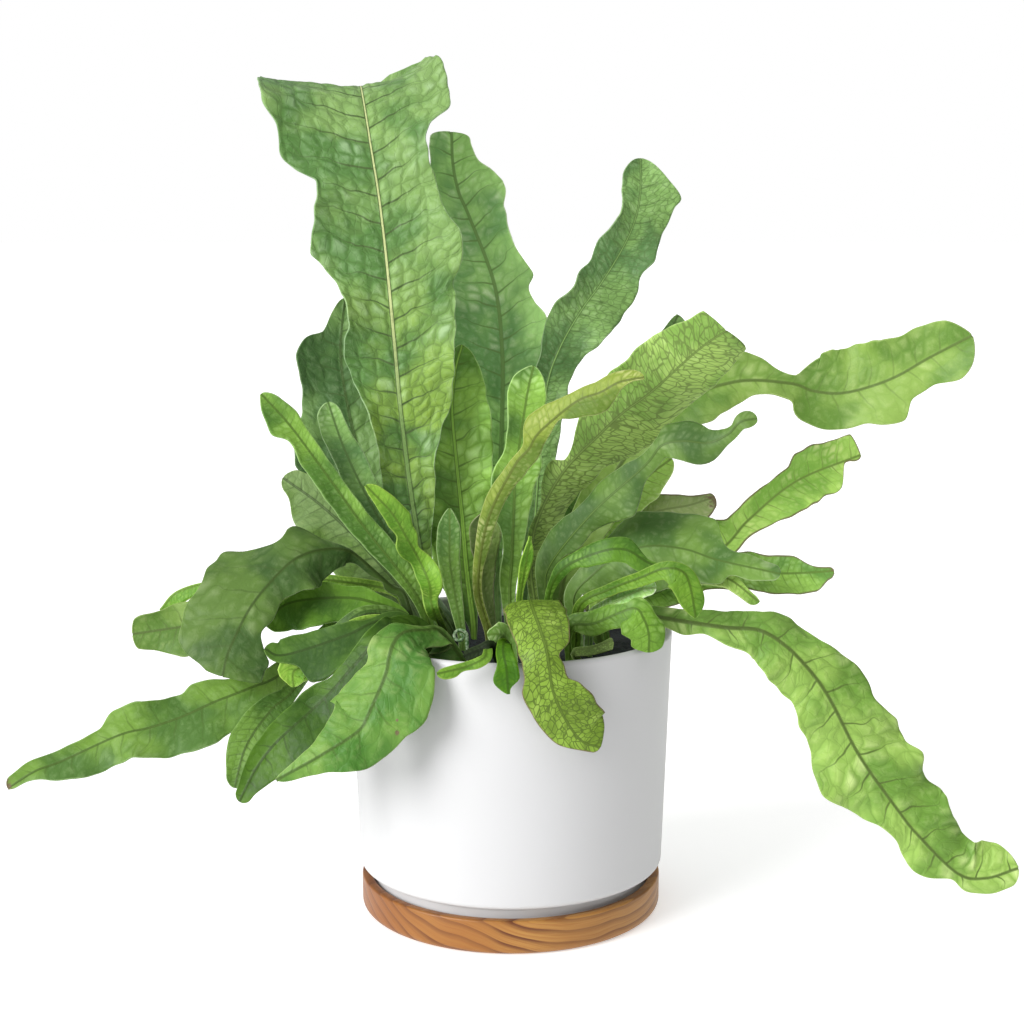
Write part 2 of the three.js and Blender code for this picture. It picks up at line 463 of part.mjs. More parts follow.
    left: [[0, 2], [0.255, 5.5], [0.55, 8], [0.635, 13.5], [0.69, 10.5], [0.715, 12.5], [0.765, 11.5],
      [0.805, 13], [0.87, 9], [0.96, 10], [1, 9]],
    right: [[0, 2], [0.055, 2], [0.49, 11], [0.54, 11], [0.59, 13.5], [0.64, 18.5], [0.755, 18.5],
      [0.78, 15.5], [0.82, 17], [0.87, 16], [0.915, 19.5], [0.93, 21.5], [0.96, 13.5], [1, 10]],
    facing: [[0.1, -1, 0.1], [0, -1, 0.2], [0.2, -1, 0.2]],
    tip: 0.05, cup: 2, wave: [3, 6, 0.5],
  },
  {
    name: "left_curl", tone: "lime", root: [-53, 12], columns: 2,
    rib: [[-57, 16, 154.5], [-86.5, 21, 160], [-122.5, 26, 161], [-151.5, 30, 158],
      [-170.5, 31, 152.5], [-180, 31, 143]],
    left: [[0, 2], [0.8, 3.5], [0.93, 6.5], [1, 2.5]],
    right: [[0, 2], [0.405, 3], [0.8, 1], [1, 1]],
    facing: [[0.1, -1, 0.5]],
    tip: 0.05, cup: 0,
  },
  {
    name: "far_right", tone: "light", root: [24, 22], columns: 4,
    rib: [[28, 25, 165], [41, 28, 193], [61.5, 31, 227], [83, 32, 249], [113, 31, 260.5],
      [140, 27, 260], [151, 25, 256.5], [163.5, 22, 255.5], [176.5, 19, 258.5], [190.5, 15, 264.5],
      [205, 10, 274], [224.5, 4, 285.5]],
    left: [[0, 2], [0.05, 2], [0.19, 8.5], [0.48, 14], [0.535, 16.5], [0.61, 14.5], [0.69, 4.5],
      [0.71, 16.5], [0.755, 21.5], [0.84, 21.5], [0.9, 17], [0.97, 13.5], [1, 7]],
    right: [[0, 2], [0.05, 2], [0.18, 9.5], [0.37, 14.5], [0.48, 14.5], [0.52, 17], [0.56, 15],
      [0.64, 7], [0.7, 10.5], [0.72, 16], [0.75, 18.5], [0.79, 17.5], [0.85, 21.5], [0.87, 14],
      [0.91, 13], [0.945, 16], [0.98, 14], [1, 10.5]],
    facing: [[0, -1, 0.3], [0, -1, 0.6], [0, -1, 0.3], [0, -1, 0.2]],
    tip: 0.03, cup: 2, wave: [3, 7, 1],
  },
  {
    name: "light_back_left", tone: "olive", root: [-43, 20], columns: 4,
    rib: [[-56, 37, 152.5], [-69.5, 40.5, 167.5], [-83, 44, 181.5], [-100, 48.5, 196],
      [-118.5, 53, 208.5]],
    left: [[0, 2], [0.115, 2], [0.375, 16], [0.49, 21.5], [0.755, 16.5], [0.85, 16], [0.925, 7.5],
      [1, 4]],
    right: [[0, 2], [0.115, 2], [0.37, 5.5], [0.53, 10], [0.81, 11.5], [1, 6.5]],
    facing: [[0.1, -1, 0.3]],
    tip: 0.04, cup: 2, wave: [2, 3, 0], underside: true,
  },
  {
    name: "patterned_behind", tone: "light", root: [25, 30], columns: 4,
    rib: [[28.5, 33.5, 155.5], [40.5, 36.5, 176], [55, 39.5, 193.5], [69, 43.5, 209], [83, 47, 219.5]],
    left: [[0, 2], [0.125, 2], [0.375, 8.5], [0.91, 8.5], [1, 6.5]],
    right: [[0, 2], [0.125, 2], [0.4, 6.5], [0.75, 10], [0.855, 11], [1, 5]],
    facing: [[0, -1, 0.4]],
    tip: 0.05, cup: 2, wave: [1.5, 3, 0],
  },
  {
    name: "brown_tipped", tone: "brown", root: [33, 37], columns: 4,
    rib: [[29.5, 37.5, 152.5], [41, 39.5, 167.5], [56.5, 41.5, 182], [74.5, 42.5, 192],
      [92.5, 44, 195.5], [105.5, 46, 199.5]],
    left: [[0, 2], [0.12, 2], [0.37, 6], [0.55, 7.5], [0.71, 9.5], [1, 2.5]],
    right: [[0, 2], [0.5, 5.5], [0.685, 10], [0.87, 9.5], [0.935, 10], [1, 4.5]],
    facing: [[0, -1, 0.6]],
    tip: 0.015, cup: 2, wave: [2, 4, 0],
  },
  {
    name: "second_tall", tone: "dark", root: [-7, 28], columns: 4,
    rib: [[-7.5, 38, 168], [-6, 42, 198.5], [-4.5, 48.5, 239.5], [-4.5, 55.5, 274.5], [-8.5, 61, 308],
      [-21.5, 67, 342.5], [-27, 71, 355], [-30, 76, 369], [-31, 84, 386]],
    left: [[0, 2], [0.25, 5], [0.38, 13], [0.475, 18.5], [0.6, 27.5], [0.705, 25], [0.79, 17],
      [0.87, 13], [1, 11.5]],
    right: [[0, 2], [0.215, 3.5], [0.44, 10], [0.57, 22], [0.625, 23.5], [0.65, 18.5], [0.675, 17],
      [0.695, 21], [0.74, 16], [0.82, 18.5], [0.85, 23.5], [0.9, 21.5], [0.93, 13], [1, 9]],
    facing: [[0.1, -1, 0.1], [0, -1, 0.2], [0.15, -1, 0.25]],
    tip: 0.02, cup: 3, wave: [3, 6, 1.5],
  },
  {
    name: "right_up_bright", tone: "light", root: [46, 26], columns: 4,
    rib: [[40.5, 29, 151.5], [66.5, 33, 158.5], [92.5, 38, 165.5], [110.5, 43, 174], [124, 49, 187.5],
      [150, 60, 206], [185, 72, 218]],
    left: [[0, 2], [0.31, 5], [0.43, 11], [0.575, 14], [0.6, 8.5], [0.66, 8.5], [0.8, 8.5],
      [0.83, 13], [1, 12]],
    right: [[0, 2], [0.075, 2], [0.29, 6], [0.42, 9], [0.555, 6], [0.625, 7.5], [0.765, 15],
      [0.86, 14], [0.91, 13], [0.95, 1], [0.98, 2], [1, 1.5]],
    facing: [[0, -1, 0.5], [0, -1, 0.3]],
    tip: 0.01, cup: 3, wave: [2, 5, 0],
  },
  {
    name: "dark_back_left", tone: "dark", root: [-30, 34], columns: 4,
    rib: [[-51.5, 48.5, 155.5], [-65.5, 57, 185.5], [-78.5, 65.5, 216], [-87, 76, 247],
      [-90.5, 85, 272.5], [-88.5, 94, 299.5]],
    left: [[0, 2], [0.075, 2], [0.23, 10.5], [0.43, 17], [0.56, 28.5], [0.6, 34], [0.71, 25],
      [0.77, 22], [0.82, 23.5], [0.865, 22], [0.89, 17.5], [0.905, 10], [1, 4.5]],
    right: [[0, 2], [0.075, 2], [0.43, 13.5], [0.59, 19.5], [0.86, 23], [0.965, 16.5], [1, 8]],
    facing: [[0.1, -1, 0.1], [0.1, -1, 0.3]],
    tip: 0.05, cup: 3, wave: [3, 5, 0.4],
  },
  {
    name: "behind_patterned", tone: "dark", root: [8, 38], columns: 4,
    rib: [[18.5, 47, 166], [35, 54, 196.5], [52, 62, 227], [67.5, 69, 255.5], [81.5, 75, 278.5],
      [88, 79, 291.5]],
    left: [[0, 2], [0.075, 2], [0.29, 8.5], [0.82, 10.5], [0.945, 4], [1, 3]],
    right: [[0, 2], [0.27, 3.5], [0.61, 9], [0.95, 11], [1, 8]],
    facing: [[0, -1, 0.2]],
    tip: 0.06, cup: 2, wave: [1.5, 3, 0],
  },
];

const wasm = await Module();
wasm.setup();

const plant = new THREE.Group();

function addMesh(name, geometry, { color, roughness }) {
  const material = new THREE.MeshStandardMaterial({ color, roughness, metalness: 0 });
  const mesh = new THREE.Mesh(geometry, material);
  mesh.name = name;
  plant.add(mesh);
}

// Rounding of a corner in a turned profile, as points on an arc
function arc(x, z, radius, from, to, steps) {
  const points = [];
  for (let i = 0; i <= steps; i += 1) {
    const angle = THREE.MathUtils.degToRad(from + ((to - from) * i) / steps);
    points.push([x + radius * Math.cos(angle), z + radius * Math.sin(angle)]);
  }
  return points;
}

// A solid of revolution about Z from [radius, height] points that run outwards underneath and back on top
function turned(profile) {
  const points = profile.map(([x, z]) => new THREE.Vector2(x, z));
  const geometry = new THREE.LatheGeometry(points, ROUND_SIDES);
  geometry.rotateX(Math.PI / 2);
  return geometry;
}

function toSolid(geometry) {
  const bare = geometry.clone();
  bare.deleteAttribute("normal");
  bare.deleteAttribute("uv");
  const merged = mergeVertices(bare, SAME_POINT);
  return new wasm.Manifold(
    new wasm.Mesh({
      numProp: 3,
      vertProperties: Float32Array.from(merged.attributes.position.array),
      triVerts: Uint32Array.from(merged.index.array),
    }),
  );
}

function toGeometry(solid) {
  const mesh = solid.getMesh();
  const geometry = new THREE.BufferGeometry();
  geometry.setAttribute("position", new THREE.BufferAttribute(mesh.vertProperties, 3));
  geometry.setIndex(new THREE.BufferAttribute(mesh.triVerts, 1));
  return geometry;
}

function saucer() {
  const inner = SAUCER_RADIUS - SAUCER_RING_WIDTH;
  return turned([
    [0, 0],
    ...arc(SAUCER_RADIUS - SAUCER_EDGE_ROUND, SAUCER_EDGE_ROUND, SAUCER_EDGE_ROUND, -90, 0, ROUND_STEPS),
    ...arc(SAUCER_RADIUS - EDGE, SAUCER_HEIGHT - EDGE, EDGE, 0, 90, EDGE_STEPS),
    [inner + EDGE, SAUCER_HEIGHT],
    [inner, SAUCER_HEIGHT - EDGE],
    [inner, SAUCER_FLOOR],
    [0, SAUCER_FLOOR],
  ]);
}

// Radius of the pot's outer face at a height
function potRadius(z) {
  return THREE.MathUtils.mapLinear(z, POT_BASE, POT_TOP, POT_BASE_RADIUS, POT_RIM_RADIUS);
}

const FOOT_BOTTOM = SAUCER_FLOOR + CLEARANCE;
const POT_INSIDE_FLOOR = FOOT_BOTTOM + POT_FOOT_HOLLOW + POT_FLOOR;
const POT_INSIDE_TURN = POT_BASE + POT_BASE_ROUND;

function pot() {
  const lip = POT_WALL / 2;
  const lipTop = POT_TOP - lip;
  return turned([
    [DRAIN_RADIUS, FOOT_BOTTOM + POT_FOOT_HOLLOW],
    [POT_FOOT_RADIUS - POT_FOOT_RING, FOOT_BOTTOM + POT_FOOT_HOLLOW],
    [POT_FOOT_RADIUS - POT_FOOT_RING + EDGE, FOOT_BOTTOM],
    [POT_FOOT_RADIUS - EDGE, FOOT_BOTTOM],
    [POT_FOOT_RADIUS, FOOT_BOTTOM + EDGE],
    [POT_FOOT_RADIUS, POT_BASE],
    ...arc(POT_BASE_RADIUS - POT_BASE_ROUND, POT_INSIDE_TURN, POT_BASE_ROUND, -90, 0, ROUND_STEPS),
    ...arc(potRadius(lipTop) - lip, lipTop, lip, 0, 180, ROUND_STEPS),
    [potRadius(POT_INSIDE_TURN) - POT_WALL, POT_INSIDE_TURN],
    [POT_FOOT_RADIUS - EDGE, POT_INSIDE_FLOOR],
    [DRAIN_RADIUS, POT_INSIDE_FLOOR],
    [DRAIN_RADIUS, FOOT_BOTTOM + POT_FOOT_HOLLOW],
  ]);
}

// The soil fills the pot to below the rim, with a plain hole for each stalk
function soil() {
  const gap = POT_WALL + CLEARANCE;
  const shoulder = SOIL_TOP - SOIL_EDGE_DROP;
  let body = toSolid(
    turned([
      [0, POT_INSIDE_FLOOR + CLEARANCE],
      [POT_FOOT_RADIUS - EDGE - CLEARANCE, POT_INSIDE_FLOOR + CLEARANCE],
      [potRadius(POT_INSIDE_TURN) - gap, POT_INSIDE_TURN + CLEARANCE],
      [potRadius(shoulder) - gap, shoulder],
      [potRadius(shoulder) - gap - SOIL_EDGE_WIDTH, SOIL_TOP],
      [0, SOIL_TOP],
    ]),
  );
  const depth = 2 * (ROOT_DEPTH + CLEARANCE);
  const hole = new THREE.CylinderGeometry(HOLE_RADIUS, HOLE_RADIUS, depth, HOLE_SIDES);
  hole.rotateX(Math.PI / 2);
  hole.translate(0, 0, SOIL_TOP);
  const hollow = toSolid(hole);
  const roots = [...FRONDS.map((frond) => frond.root), CURL_ROOT];
  for (const [x, y] of roots) body = body.subtract(hollow.translate([x, y, 0]));
  return toGeometry(body);
}

// Smooth curve through [station, value] knots, with the slope of the neighbours at each knot
function valueAt(knots, s) {
  const last = knots.length - 1;
  const slope = (i) => {
    const [x0, y0] = knots[Math.max(i - 1, 0)];
    const [x1, y1] = knots[Math.min(i + 1, last)];
    return (y1 - y0) / (x1 - x0);
  };
  let i = 0;
  while (i < last - 1 && s >= knots[i + 1][0]) i += 1;
  const [x0, y0] = knots[i];
  const [x1, y1] = knots[i + 1];
  const h = x1 - x0;
  const t = THREE.MathUtils.clamp((s - x0) / h, 0, 1);
  return (
    (1 + 2 * t) * (1 - t) ** 2 * y0 +
    t * (1 - t) ** 2 * h * slope(i) +
    t * t * (3 - 2 * t) * y1 +
    t * t * (t - 1) * h * slope(i + 1)
  );
}

// Direction that the frond's front looks at a station, eased between evenly spaced directions
function facingAt(directions, s) {
  if (directions.length === 1) return new THREE.Vector3(...directions[0]);
  const x = s * (directions.length - 1);
  const i = Math.min(Math.floor(x), directions.length - 2);
  const a = new THREE.Vector3(...directions[i]);
  return a.lerp(new THREE.Vector3(...directions[i + 1]), THREE.MathUtils.smoothstep(x - i, 0, 1));
}

// The curve of a rib: straight down in its hole, a short neck over the soil, then the rib's own points
function ribCurve({ root: [x, y], rib }) {
  const soilPoint = new THREE.Vector3(x, y, SOIL_TOP);
  const first = new THREE.Vector3(...rib[0]);
  const neck = soilPoint.clone();
  neck.x += NECK_REACH * (first.x - x);
  neck.y += NECK_REACH * (first.y - y);
  neck.z += NECK_RISE * (first.z - SOIL_TOP);
  const points = [new THREE.Vector3(x, y, SOIL_TOP - ROOT_DEPTH), soilPoint, neck];
  for (const point of rib) points.push(new THREE.Vector3(...point));
  const curve = new THREE.CatmullRomCurve3(points, false, "catmullrom", 0.5);
  curve.arcLengthDivisions = ARC_STEPS * (points.length - 1);
  return curve;
}

// Where a point of the blade stands off the flat blade: share runs from 0 at the rib to 1 at the margin
function liftAt(frond, s, share, halfWidth, side) {
  const grown = THREE.MathUtils.clamp((s - RIPPLE_FROM) / (RIPPLE_FULL - RIPPLE_FROM), 0, 1);
  const wide = Math.min(halfWidth / RIPPLE_HALF_WIDTH, 1);
  const [height, count, start] = frond.wave ?? [0, 0, 0];
  const offset = side > 0 ? RIPPLE_OFFSET : 0;
  const ripple = height * Math.sin(2 * Math.PI * count * s + start + offset);
  return share * share * (grown * wide * (frond.cup + ripple) + cornerRise(frond, s, side));
}

// The corners of the end stand up, and go down again where the tip closes
function cornerRise(frond, s, side) {
  const [leftCorner, rightCorner] = frond.corners ?? [0, 0];
  const corner = side > 0 ? rightCorner : leftCorner;
  return corner * THREE.MathUtils.smoothstep(s, CORNER_FROM, CORNER_FULL) * (1 - closedAt(frond, s) ** 2);
}

// How far the tip has closed, from 0 where its rounding starts to 1 at the end
function closedAt(frond, s) {
  return Math.max((s - 1 + frond.tip) / frond.tip, 0);
}

// One row across the blade: points of its upper and lower face from the left margin to the right one
function bladeRow(frond, curve, s) {
  const middle = curve.getPointAt(s);
  const step = CHORD / curve.getLength();
  const along = curve.getPointAt(Math.min(s + step, 1));
  along.sub(curve.getPointAt(Math.max(s - step, 0))).normalize();
  const front = facingAt(frond.facing, s);
  front.addScaledVector(along, -front.dot(along)).normalize();
  const across = new THREE.Vector3().crossVectors(along, front);
  const rounding = Math.sqrt(Math.max(1 - closedAt(frond, s) ** 2, 0));
  const stalk = 1 - THREE.MathUtils.smoothstep(s, 0, STALK_SHARE);
  const half = THREE.MathUtils.lerp(BLADE_THICKNESS, STALK_THICKNESS, stalk) / 2;
  const upper = [];
  const lower = [];
  for (let i = 0; i <= frond.columns; i += 1) {
    const t = (2 * i) / frond.columns - 1;
    const side = Math.sign(t);
    const margin = valueAt(side < 0 ? frond.left : frond.right, s);
    const halfWidth = Math.max(margin * rounding, LEAST_HALF_WIDTH);
    const lift = liftAt(frond, s, Math.abs(t), halfWidth, side);
    const point = middle.clone().addScaledVector(across, halfWidth * t).addScaledVector(front, lift);
    const rib = side === 0 ? RIB_HEIGHT * (1 - stalk) * (1 - RIB_TAPER * s) : 0;
    const proud = frond.underside ? [rib, 0] : [0, rib];
    upper.push(point.clone().addScaledVector(front, half + proud[0]));
    lower.push(point.clone().addScaledVector(front, -half - proud[1]));
  }
  return [...upper, ...lower.reverse()];
}

function rowCount({ columns }, length) {
  const spacing = columns > 2 ? ROW_SPACING : NARROW_ROW_SPACING;
  return Math.max(LEAST_ROWS, Math.round(length / spacing));
}

function frondGeometry(frond) {
  const curve = ribCurve(frond);
  const soilLevel = ROOT_DEPTH / curve.getLength();
  const stations = [0];
  const plain = rowCount(frond, curve.getLength()) - TIP_ROWS - 1;
  for (let i = 0; i <= plain; i += 1) {
    stations.push(THREE.MathUtils.lerp(soilLevel, 1 - frond.tip, i / plain));
  }
  for (let i = 1; i <= TIP_ROWS; i += 1) {
    stations.push(1 - frond.tip + frond.tip * Math.sin((Math.PI / 2) * (i / TIP_ROWS)));
  }
  const rings = stations.map((s) => bladeRow(frond, curve, s));
  const around = rings[0].length;
  const index = [];
  const at = (row, i) => row * around + (i % around);
  const columns = frond.columns;
  for (let row = 0; row < rings.length - 1; row += 1) {
    for (let i = 0; i < around; i += 1) {
      const [a, b, c, d] = [at(row, i), at(row, i + 1), at(row + 1, i + 1), at(row + 1, i)];
      const lowerFace = i > columns && i < around - 1;
      if (lowerFace) index.push(a, b, d, b, c, d);
      else index.push(a, b, c, a, c, d);
    }
  }
  const tip = (rings.length - 1) * around;
  for (let i = 0; i < columns; i += 1) {
    const [a, b, c, d] = [i, i + 1, around - 2 - i, around - 1 - i];
    index.push(a, d, c, a, c, b);
    index.push(tip + a, tip + c, tip + d, tip + a, tip + b, tip + c);
  }
  const positions = rings.flat().flatMap((point) => point.toArray());
  const geometry = new THREE.BufferGeometry();
  geometry.setAttribute("position", new THREE.Float32BufferAttribute(positions, 3));
  geometry.setIndex(index);
  return geometry;
}

// A young frond still rolled up: a thin stalk that ends in a flat spiral
function fiddlehead() {
  const [x, y] = CURL_ROOT;
  const points = [new THREE.Vector3(x, y, SOIL_TOP - ROOT_DEPTH), new THREE.Vector3(x, y, SOIL_TOP)];
  const centre = new THREE.Vector3(x - CURL_OUTER_RADIUS, y, SOIL_TOP + CURL_HEIGHT);
  for (let i = 0; i <= CURL_POINTS; i += 1) {
    const angle = (2 * Math.PI * CURL_TURNS * i) / CURL_POINTS;
    const radius = THREE.MathUtils.lerp(CURL_OUTER_RADIUS, CURL_INNER_RADIUS, i / CURL_POINTS);
    const offset = new THREE.Vector3(radius * Math.cos(angle), 0, radius * Math.sin(angle));
    points.push(centre.clone().add(offset));
  }
  const section = new THREE.Shape();
  for (let i = 0; i < CURL_SIDES; i += 1) {
    const angle = (2 * Math.PI * i) / CURL_SIDES;
    const corner = [CURL_STALK_RADIUS * Math.cos(angle), CURL_STALK_RADIUS * Math.sin(angle)];
    if (i === 0) section.moveTo(...corner);
    else section.lineTo(...corner);
  }
  section.closePath();
  const extrudePath = new THREE.CatmullRomCurve3(points);
  return new THREE.ExtrudeGeometry(section, { steps: 2 * CURL_POINTS, extrudePath });
}

addMesh("saucer", saucer(), FINISHES.wood);
addMesh("pot", pot(), FINISHES.glaze);
addMesh("soil", soil(), FINISHES.soil);
for (const frond of FRONDS) {
  const finish = { color: TONES[frond.tone], roughness: LEAF_ROUGHNESS };
  addMesh(`frond_${frond.name}`, frondGeometry(frond), finish);
}
addMesh("fiddlehead", fiddlehead(), FINISHES.young);

export default plant;
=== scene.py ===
"""Potted crocodile fern: the looks of the fronds, the ceramic pot, the wood saucer and the soil."""

import math

import bpy
import numpy as np
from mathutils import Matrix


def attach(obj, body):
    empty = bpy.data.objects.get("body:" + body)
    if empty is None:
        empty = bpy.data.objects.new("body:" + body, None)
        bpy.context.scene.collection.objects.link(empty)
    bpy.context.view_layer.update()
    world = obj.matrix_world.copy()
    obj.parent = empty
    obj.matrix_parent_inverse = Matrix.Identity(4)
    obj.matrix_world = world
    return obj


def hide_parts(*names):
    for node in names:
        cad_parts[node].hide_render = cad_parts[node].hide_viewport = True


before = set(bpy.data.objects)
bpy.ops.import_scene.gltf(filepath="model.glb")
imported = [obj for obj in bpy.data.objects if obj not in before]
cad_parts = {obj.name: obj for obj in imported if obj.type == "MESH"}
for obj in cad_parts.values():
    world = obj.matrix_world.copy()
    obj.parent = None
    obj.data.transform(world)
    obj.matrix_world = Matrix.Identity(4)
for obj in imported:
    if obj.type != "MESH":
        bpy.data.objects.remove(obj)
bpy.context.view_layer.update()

MM = 0.001
CLEARANCE = 0.3

# The sizes of the made pieces, in millimetres, as the frame has them
SAUCER_RADIUS = 75
SAUCER_HEIGHT = 17
SAUCER_EDGE_ROUND = 4
SAUCER_RING_WIDTH = 4.9
SAUCER_FLOOR = 10
POT_RIM_RADIUS = 80
POT_BASE_RADIUS = 75.9
POT_TOP = 142
POT_BASE = 22.5
POT_BASE_ROUND = 3
POT_WALL = 4.2
POT_FLOOR = 6
POT_FOOT_RADIUS = 68.6
POT_FOOT_RING = 8
POT_FOOT_HOLLOW = 2
DRAIN_RADIUS = 7
EDGE = 1
ROUND_SIDES = 192
SOIL_TOP = 131
SOIL_EDGE_DROP = 1.2
SOIL_RINGS = 46
ROOT_DEPTH = 11
CURL_ROOT = (-21, -28)
CURL_HEIGHT = 12
CURL_OUTER_RADIUS = 3.6
CURL_INNER_RADIUS = 1.1
CURL_TURNS = 1.25
CURL_STALK_RADIUS = 0.8
CURL_STEPS = 20

# A turned piece starts this close to its axis, its points merge within these distances where they meet, and
# its face stays smooth up to this angle
AXIS_RADIUS = 0.01
MERGE = 0.03
MERGE_CLOSED = 0.02
SMOOTH_ANGLE = 35

# How a frond is laid out: the same values as in the frame's solids
NECK_REACH = 0.12
NECK_RISE = 0.3
RIPPLE_FROM = 0.15
RIPPLE_FULL = 0.4
RIPPLE_HALF_WIDTH = 15
RIPPLE_OFFSET = 2.1
CORNER_FROM = 0.84
CORNER_FULL = 0.96
LEAST_HALF_WIDTH = 0.8
STALK_SHARE = 0.22
CHORD = 1.5
CURVE_STEPS = 24

# The fine blades: spacing of their points, and thickness at the stalk, in the blade and along the rib
GRID = 1.15
TIP_ROWS = 10
STALK_THICKNESS = 2.4
BLADE_THICKNESS = 0.7
RIB_THICKNESS = 1.5
RIB_TAPER = 0.7

# Small unevenness of a margin: [height, length] of two waves in its outline and of one that lifts it
NIBBLE_LONG = (0.3, 2.9)
NIBBLE_SHORT = (0.2, 1.7)
FRILL = (0.5, 4.1)

# The veins: how far the laterals lean towards the tip, the size of the net between them as a share of
# their spacing, and the relief of the flesh in millimetres
LATERAL_LEAN = 0.42
CROSS_SHARE = 0.5
CROSS_RANDOM = 0.55
VEIN_BEND = 0.6
VEIN_BEND_SCALE = 0.16
PILLOW_SHARE = 0.04
CELL_SHARE = 0.02
CELL_SLOPE = 0.16
SWELL_HEIGHT = 2.2

# Painted shade darkens the stalks below this distance from their foot
FOOT_FROM = 12
FOOT_FULL = 75
DRIED = 0x6E5A48
LEAF_SPECULAR = 0.2

# The wood: the slant and width of its growth rings, its colours from early to late wood, and a painted shade
# colour for its left side
RING_SLOPE = 0.25
RING_BEND = 0.35
RING_WIDTH = 6.2
FINE_RING_SHARE = 0.37
WOOD_SPECULAR = 0.4
WOOD_PALE = 0xAE7E3E
WOOD_WARM = 0x96622A
WOOD_FIBRE = 0x8E5420
WOOD_FAINT_RING = 0x8A5020
WOOD_SHADED = 0x7C4618
WOOD_LATE = 0x5A2A0E

# The soil: height of its crumbs and colours of its grains
CRUMB_HEIGHT = 7
SOIL_DARK = 0x0B1012
SOIL_PALE = 0x2A3236

GLAZE_LOW = 0xC3C3C4
GLAZE_HIGH = 0xC8C8C9
COIL_STRIPE = 0x6E9A62
COIL_FLESH = 0xC4DCB4

# The studio: a soft key from the upper left front, air that is dimmer on the right, and the floor's own glow
KEY_FROM = (-1.3, -1.0, 0.75)
KEY_POWER = 3.4
KEY_SOFTNESS = 36
AIR_LEFT = 0.42
AIR_RIGHT = 0.14
AIR_TOP = 0.7
FLOOR_GLOW = 0.455
FLOOR_SIZE = 40
FLOOR_GREY = 0.8

# The camera: its place in millimetres, how far it looks down, and its lens
CAMERA_PLACE = (0.6, -895.6, 344.6)
CAMERA_TILT = 0.161
CAMERA_LENS = 64.8
CAMERA_SENSOR = 36

